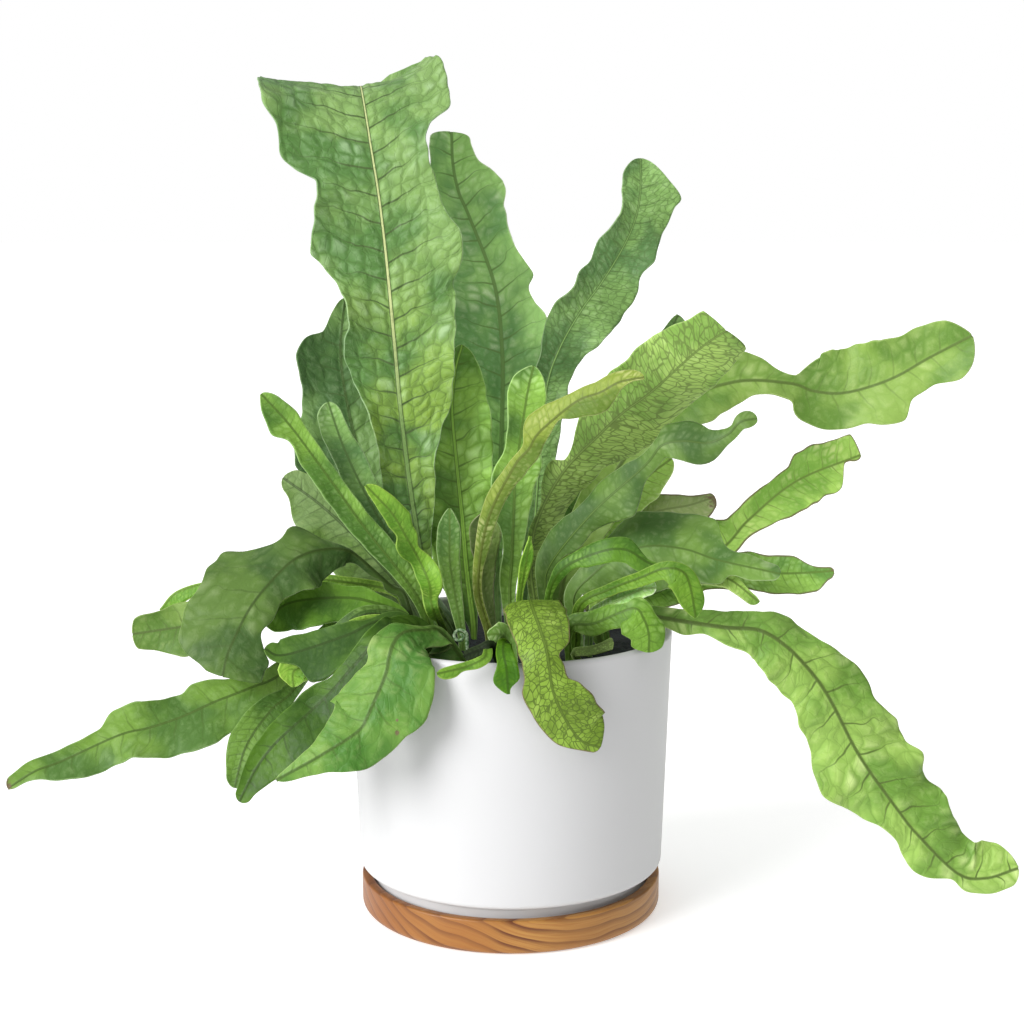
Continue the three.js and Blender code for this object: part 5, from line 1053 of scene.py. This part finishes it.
def leaf_finish(frond):
    flesh, shade_tone, light = [tinted(frond, key) for key in ("flesh", "shade_tone", "light")]
    vein = shaded(flesh, frond["vein_shade"])
    rib = shaded(flesh, frond["rib_shade"])
    material, wires, shader = new_finish("leaf_" + frond["name"])
    blade = wires.node("ShaderNodeAttribute", attribute_name="blade").outputs["Vector"]
    net = vein_net(wires, blade, frond)
    fleck = wires.noise(net["place"], 0.4, 3.0, 0.6)
    cell = wires.ease(net["cross"], 0.0, CELL_SLOPE * frond["net"])
    fine_line = 0.05 * frond["mesh"] + 0.14
    bead = wires.ease(net["fine"], 0.3 * fine_line, fine_line)
    length = float(rib_curve(frond)[1][-1])
    colour = leaf_colour(frond, wires, net, flesh, shade_tone, light, length)
    # Painted highlights: pale flecks on the cells
    colour = wires.mix(wires.math("MULTIPLY", cell, wires.ease(fleck, 0.4, 0.65, 0.0, 0.14)), colour, light)
    colour = wires.mix(wires.math("MULTIPLY", wires.math("SUBTRACT", 1.0, bead), frond["fine"]), colour, vein)
    cross_line = min(0.1 + 0.035 * frond["net"], 0.5)
    crossing = wires.ease(net["along"], 0.3 * length, 0.75 * length, frond["cross"], 0.6 * frond["cross"])
    by_cross = wires.ease(net["cross"], 0.2 * cross_line, cross_line, crossing, 0.0)
    colour = wires.mix(by_cross, colour, vein)
    fade = wires.ease(net["share"], 0.1, 0.95, 1.0, 0.45)
    line = wires.ease(net["share"], 0.05, 0.8, 1.6 * cross_line, 0.7 * cross_line)
    by_lateral = wires.ease(wires.math("DIVIDE", net["lateral"], line), 0.3, 1.0, frond["lateral"], 0.0)
    colour = wires.mix(wires.math("MULTIPLY", by_lateral, fade), colour, vein)
    taper = wires.ease(net["along"], 0.0, length, frond["rib_width"], 0.35 * frond["rib_width"])
    if "rib_paint" in frond:
        rib = wires.mix(wires.ease(net["along"], 0.35 * length, 0.6 * length), rib, paint(frond["rib_paint"]))
    from_rib = wires.math("SUBTRACT", net["reach"], taper)
    colour = wires.mix(wires.ease(from_rib, 0.15, 0.7, 0.85, 0.0), colour, vein)
    colour = wires.mix(wires.ease(from_rib, -0.25, 0.05, 1.0, 0.0), colour, rib)
    groove = wires.ease(wires.math("DIVIDE", net["reach"], taper), 0.1, 0.35, frond["groove"], 0.0)
    colour = wires.mix(groove, colour, vein)
    to_margin = wires.math("MULTIPLY", wires.math("SUBTRACT", 1.0, net["share"]), net["half_width"])
    colour = wires.mix(wires.ease(to_margin, 0.1, 0.45, frond["margin"], 0.0), colour, light)
    for mark in dried_places(frond, wires, net, to_margin, fleck, length):
        colour = wires.mix(mark, colour, paint(DRIED))
    wires.plug(shader.inputs["Base Color"], colour)
    wires.plug(shader.inputs["Roughness"], wires.ease(fleck, 0.3, 0.7, frond["rough"], frond["rough"] + 0.14))
    shader.inputs["Specular IOR Level"].default_value = LEAF_SPECULAR
    grain = wires.math("MULTIPLY", wires.math("ADD", fleck, bead), 0.25)
    bump(wires, shader, wires.math("ADD", cell, grain), CELL_SHARE * frond["net"] * frond["swell"] * MM)
    return material


def dried_places(frond, wires, net, to_margin, fleck, length):
    """How far the flesh has dried and browned at the tip, along the margins and in spots"""
    places = []
    ragged = wires.math("MULTIPLY_ADD", fleck, 12.0, -6.0)
    if "tip_dried" in frond:
        from_end = wires.math("SUBTRACT", length, wires.math("ADD", net["along"], ragged))
        places.append(wires.ease(from_end, frond["tip_dried"] - 2, frond["tip_dried"] + 2, 0.9, 0.0))
    if "edge_dried" in frond:
        patchy = wires.ease(wires.noise(net["place"], 0.09, 2.0), 0.35, 0.6, 0.0, frond["edge_dried"])
        places.append(wires.ease(to_margin, 0.2, wires.math("ADD", patchy, 0.3), 0.8, 0.0))
    for across, along, radius in frond.get("spots", ()):
        from_spot = wires.node("ShaderNodeVectorMath", operation="DISTANCE")
        wires.plug(from_spot.inputs[0], wires.vector(net["across"], net["along"], 0.0))
        from_spot.inputs[1].default_value = (across, along, 0)
        far = wires.math("MULTIPLY_ADD", fleck, radius, from_spot.outputs["Value"])
        places.append(wires.ease(far, radius, 1.6 * radius, 0.85, 0.0))
    return places


def build_frond(frond, seed):
    """One frond: its own blade, the relief of its veins, its wall and its finish"""
    tone = frond["tone"]
    widest = widest_of(frond)
    frond = {**HABIT, **TONES[tone], **MARKS[tone], **frond, **SPECIAL.get(frond["name"], {})}
    frond.setdefault("net", min(3 + frond["net_share"] * widest / 2, 14))
    frond.setdefault("mesh", frond["mesh_share"] * frond["net"])
    frond.setdefault("rib_width", min(max(widest / 50, 0.3), 0.8))
    frond["seed"] = float(seed)
    piece = blade_grid(frond)
    shift_points(piece, lambda wires: cell_offset(wires, frond))
    thicken(piece)
    piece.data.materials.append(leaf_finish(frond))
    stands_for(piece, "frond_" + frond["name"])


def arc(x, z, radius, start, end, steps):
    angles = [math.radians(start + (end - start) * i / steps) for i in range(steps + 1)]
    return [(x + radius * math.cos(a), z + radius * math.sin(a)) for a in angles]


def turned_piece(name, profile, closed=False):
    """A ring of points is drawn along a profile of (radius, height) and merged where it reaches the axis"""
    bpy.ops.object.select_all(action="DESELECT")
    radius, height = profile[0]
    bpy.ops.mesh.primitive_circle_add(
        vertices=ROUND_SIDES, radius=max(radius, AXIS_RADIUS) * MM, location=(0, 0, height * MM)
    )
    piece = bpy.context.object
    piece.name = name
    bpy.ops.object.transform_apply(location=True)
    bpy.ops.object.mode_set(mode="EDIT")
    bpy.ops.mesh.select_all(action="SELECT")
    for (r0, z0), (r1, z1) in zip(profile, profile[1:]):
        bpy.ops.mesh.extrude_edges_move(TRANSFORM_OT_translate={"value": (0, 0, (z1 - z0) * MM)})
        k = max(r1, AXIS_RADIUS) / max(r0, AXIS_RADIUS)
        bpy.ops.transform.resize(value=(k, k, 1), center_override=(0, 0, z1 * MM))
    bpy.ops.mesh.select_all(action="SELECT")
    bpy.ops.mesh.remove_doubles(threshold=(MERGE_CLOSED if closed else MERGE) * MM)
    bpy.ops.mesh.normals_make_consistent(inside=False)
    bpy.ops.object.mode_set(mode="OBJECT")
    bpy.ops.object.shade_smooth_by_angle(angle=math.radians(SMOOTH_ANGLE))
    return piece


def stands_for(piece, node):
    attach(piece, "root")
    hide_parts(node)


def pot_radius(z):
    share = (z - POT_BASE) / (POT_TOP - POT_BASE)
    return POT_BASE_RADIUS + (POT_RIM_RADIUS - POT_BASE_RADIUS) * share


def build_pot():
    foot = SAUCER_FLOOR + CLEARANCE
    hollow = foot + POT_FOOT_HOLLOW
    floor = hollow + POT_FLOOR
    turn = POT_BASE + POT_BASE_ROUND
    lip = POT_WALL / 2
    lip_top = POT_TOP - lip
    profile = [
        (DRAIN_RADIUS, hollow),
        (POT_FOOT_RADIUS - POT_FOOT_RING, hollow),
        (POT_FOOT_RADIUS - POT_FOOT_RING + EDGE, foot),
        (POT_FOOT_RADIUS - EDGE, foot),
        (POT_FOOT_RADIUS, foot + EDGE),
        (POT_FOOT_RADIUS, POT_BASE),
        *arc(POT_BASE_RADIUS - POT_BASE_ROUND, turn, POT_BASE_ROUND, -90, 0, 8),
        *arc(pot_radius(lip_top) - lip, lip_top, lip, 0, 180, 10),
        (pot_radius(turn) - POT_WALL, turn),
        (POT_FOOT_RADIUS - EDGE, floor),
        (DRAIN_RADIUS, floor),
        (DRAIN_RADIUS, hollow),
    ]
    piece = turned_piece("ceramic_pot", profile, closed=True)
    material, wires, shader = new_finish("satin_glaze")
    where = wires.node("ShaderNodeTexCoord").outputs["Object"]
    cloud = wires.noise(where, 14.0, 3.0)
    wires.plug(shader.inputs["Base Color"], wires.mix(cloud, paint(GLAZE_LOW), paint(GLAZE_HIGH)))
    wires.plug(shader.inputs["Roughness"], wires.ease(cloud, 0.3, 0.7, 0.4, 0.5))
    bump(wires, shader, wires.noise(where, 420.0, 2.0), 0.0001, 0.35)
    piece.data.materials.append(material)
    stands_for(piece, "pot")


def wood_finish():
    """Growth rings cut at a slant: each darkens slowly to its late wood, and fine fibres run along them"""
    material, wires, shader = new_finish("lacquered_wood")
    where = wires.node("ShaderNodeTexCoord").outputs["Object"]
    x, y, z = wires.apart(where)
    drift = wires.math("SUBTRACT", wires.noise(where, 16.0, 2.0), 0.5)
    depth = wires.math("MULTIPLY_ADD", x, RING_SLOPE, wires.math("MULTIPLY_ADD", y, -RING_BEND, z))
    depth = wires.math("MULTIPLY_ADD", drift, 20 * MM, depth)
    ring = wires.math("FRACT", wires.math("DIVIDE", depth, RING_WIDTH * MM))
    fine_ring = wires.math("FRACT", wires.math("DIVIDE", depth, FINE_RING_SHARE * RING_WIDTH * MM))
    fibre_place = wires.vector(wires.math("MULTIPLY", depth, 1500.0), wires.math("MULTIPLY", x, 60.0), 3.0)
    fibre = wires.noise(fibre_place, 1.0, 3.0, 0.6)
    patch = wires.noise(where, 12.0, 1.0)
    colour = wires.mix(wires.ease(patch, 0.35, 0.65), paint(WOOD_WARM), paint(WOOD_PALE))
    colour = wires.mix(wires.ease(fibre, 0.35, 0.75, 0.0, 0.45), colour, paint(WOOD_FIBRE))
    # Painted shade: the saucer darker towards its left
    colour = wires.mix(wires.ease(x, -70 * MM, -10 * MM, 0.6, 0.0), colour, paint(WOOD_SHADED))
    strength = wires.ease(wires.noise(where, 22.0, 2.0), 0.35, 0.62, 0.5, 1.0)
    strength = wires.math("MULTIPLY", strength, wires.ease(x, -10 * MM, 60 * MM, 1.0, 0.55))
    late = wires.math("MULTIPLY", wires.ease(ring, 0.35, 0.95), wires.ease(ring, 0.95, 1.0, 1.0, 0.0))
    late = wires.math("MULTIPLY", wires.math("POWER", late, 1.4), strength)
    faint = wires.math("MULTIPLY", wires.ease(fine_ring, 0.5, 0.95), wires.math("MULTIPLY", strength, 0.35))
    colour = wires.mix(faint, colour, paint(WOOD_FAINT_RING))
    colour = wires.mix(late, colour, paint(WOOD_LATE))
    wires.plug(shader.inputs["Base Color"], colour)
    wires.plug(shader.inputs["Roughness"], wires.ease(fibre, 0.3, 0.7, 0.34, 0.46))
    shader.inputs["Specular IOR Level"].default_value = WOOD_SPECULAR
    bump(wires, shader, wires.math("SUBTRACT", fibre, late), 0.00008)
    return material


def build_saucer():
    inner = SAUCER_RADIUS - SAUCER_RING_WIDTH
    profile = [
        (0, 0),
        *arc(SAUCER_RADIUS - SAUCER_EDGE_ROUND, SAUCER_EDGE_ROUND, SAUCER_EDGE_ROUND, -90, 0, 10),
        *arc(SAUCER_RADIUS - EDGE, SAUCER_HEIGHT - EDGE, EDGE, 0, 90, 5),
        *arc(inner + EDGE, SAUCER_HEIGHT - EDGE, EDGE, 90, 180, 5),
        *arc(inner - EDGE, SAUCER_FLOOR + EDGE, EDGE, 0, -90, 4),
        (0, SAUCER_FLOOR),
    ]
    piece = turned_piece("wood_saucer", profile)
    piece.data.materials.append(wood_finish())
    stands_for(piece, "saucer")


def build_soil():
    edge = pot_radius(SOIL_TOP) - POT_WALL - CLEARANCE
    floor = SAUCER_FLOOR + 2 * CLEARANCE + POT_FOOT_HOLLOW + POT_FLOOR
    shoulder = SOIL_TOP - SOIL_EDGE_DROP
    turn = POT_BASE + POT_BASE_ROUND
    profile = [
        (0, floor),
        (POT_FOOT_RADIUS - 2 * EDGE, floor),
        (pot_radius(turn) - POT_WALL - CLEARANCE, turn + CLEARANCE),
        (edge, shoulder),
        *[(edge * (1 - i / SOIL_RINGS), SOIL_TOP) for i in range(1, SOIL_RINGS + 1)],
    ]
    piece = turned_piece("potting_mix", profile)
    shift_points(piece, lambda wires: crumb_offset(wires, edge))
    piece.data.materials.append(soil_finish())
    stands_for(piece, "soil")


def crumb_offset(wires, edge):
    """Raises crumbs on top of the soil, away from its edge"""
    where = wires.node("GeometryNodeInputPosition").outputs[0]
    x, y, z = wires.apart(where)
    radius = wires.math("SQRT", wires.math("ADD", wires.math("MULTIPLY", x, x), wires.math("MULTIPLY", y, y)))
    inside = wires.ease(radius, (edge - 3) * MM, (edge - 1) * MM, 1.0, 0.0)
    on_top = wires.math("GREATER_THAN", z, (SOIL_TOP - 0.5) * MM)
    lumps = wires.math("SUBTRACT", wires.noise(where, 120.0, 4.0, 0.7), 0.5)
    lumps = wires.math("MULTIPLY", lumps, CRUMB_HEIGHT * MM)
    rise = wires.math("MULTIPLY", lumps, wires.math("MULTIPLY", inside, on_top))
    return wires.vector(0.0, 0.0, rise)


def soil_finish():
    material, wires, shader = new_finish("dark_potting_mix")
    where = wires.node("ShaderNodeTexCoord").outputs["Object"]
    grain = wires.noise(where, 420.0, 4.0, 0.75)
    colour = wires.mix(wires.ease(grain, 0.35, 0.7), paint(SOIL_DARK), paint(SOIL_PALE))
    wires.plug(shader.inputs["Base Color"], colour)
    wires.plug(shader.inputs["Roughness"], wires.ease(grain, 0.3, 0.7, 0.75, 0.95))
    bump(wires, shader, grain, 0.001)
    return material


def build_fiddlehead():
    """The rolled young frond: a round stalk that rolls up into its coil"""
    x, y = CURL_ROOT
    path = [(x, y, SOIL_TOP - ROOT_DEPTH), (x, y, SOIL_TOP)]
    for i in range(CURL_STEPS + 1):
        angle = 2 * math.pi * CURL_TURNS * i / CURL_STEPS
        radius = CURL_OUTER_RADIUS + (CURL_INNER_RADIUS - CURL_OUTER_RADIUS) * i / CURL_STEPS
        across = x - CURL_OUTER_RADIUS + radius * math.cos(angle)
        path.append((across, y, SOIL_TOP + CURL_HEIGHT + radius * math.sin(angle)))
    bpy.ops.object.select_all(action="DESELECT")
    bpy.ops.curve.primitive_nurbs_path_add()
    curve = bpy.context.object
    spline = curve.data.splines[0]
    spline.points.add(len(path) - len(spline.points))
    for point, (px, py, pz) in zip(spline.points, path):
        point.co = (px * MM, py * MM, pz * MM, 1)
        point.radius = 1
    spline.order_u = 3
    spline.use_endpoint_u = True
    curve.data.bevel_depth = CURL_STALK_RADIUS * MM
    curve.data.bevel_resolution = 5
    curve.data.use_fill_caps = True
    curve.data.resolution_u = 8
    bpy.ops.object.convert(target="MESH")
    piece = bpy.context.object
    piece.name = "young_coil"
    bpy.ops.object.shade_smooth()
    material, wires, shader = new_finish("young_flesh")
    where = wires.node("ShaderNodeTexCoord").outputs["Object"]
    stripe = wires.noise(where, 700.0, 1.0)
    colour = wires.mix(wires.ease(stripe, 0.4, 0.6), paint(COIL_STRIPE), paint(COIL_FLESH))
    wires.plug(shader.inputs["Base Color"], colour)
    wires.plug(shader.inputs["Roughness"], wires.ease(stripe, 0.3, 0.7, 0.4, 0.6))
    bump(wires, shader, stripe, 0.0002)
    piece.data.materials.append(material)
    stands_for(piece, "fiddlehead")


def build_studio():
    bpy.ops.object.select_all(action="DESELECT")
    bpy.ops.mesh.primitive_plane_add(size=FLOOR_SIZE)
    floor = bpy.context.object
    floor.name = "studio_floor"
    material, wires, shader = new_finish("pale_floor")
    shader.inputs["Base Color"].default_value = (FLOOR_GREY, FLOOR_GREY, FLOOR_GREY, 1)
    shader.inputs["Roughness"].default_value = 1
    shader.inputs["Specular IOR Level"].default_value = 0
    shader.inputs["Emission Color"].default_value = (1, 1, 1, 1)
    shader.inputs["Emission Strength"].default_value = FLOOR_GLOW
    floor.data.materials.append(material)
    world = bpy.data.worlds.new("studio_air")
    bpy.context.scene.world = world
    world.use_nodes = True
    wires = Wires(world.node_tree)
    background = world.node_tree.nodes["Background"]
    seen = wires.node("ShaderNodeLightPath").outputs["Is Camera Ray"]
    x, _, z = wires.apart(wires.node("ShaderNodeTexCoord").outputs["Generated"])
    from_sides = wires.ease(x, -0.9, 0.9, AIR_LEFT, AIR_RIGHT)
    soft = wires.math("ADD", from_sides, wires.ease(z, 0.2, 1.0, 0.0, AIR_TOP))
    wires.plug(background.inputs["Strength"], wires.math("MAXIMUM", soft, seen))
    background.inputs["Color"].default_value = (1, 1, 1, 1)
    bpy.ops.object.light_add(type="SUN")
    lamp = bpy.context.object
    lamp.name = "key"
    lamp.data.energy = KEY_POWER
    lamp.data.angle = math.radians(KEY_SOFTNESS)
    x, y, z = KEY_FROM
    lamp.rotation_euler = (math.atan2(math.hypot(x, y), z), 0, math.atan2(y, x) + math.pi / 2)
    bpy.ops.object.camera_add(location=[v * MM for v in CAMERA_PLACE])
    camera = bpy.context.object
    camera.rotation_euler = (math.pi / 2 - CAMERA_TILT, 0, 0)
    camera.data.lens = CAMERA_LENS
    camera.data.sensor_width = CAMERA_SENSOR
    bpy.context.scene.camera = camera
    bpy.context.scene.view_settings.view_transform = "Standard"


build_saucer()
build_pot()
build_soil()
for seed, frond in enumerate(FRONDS):
    build_frond(frond, seed)
build_fiddlehead()
build_studio()
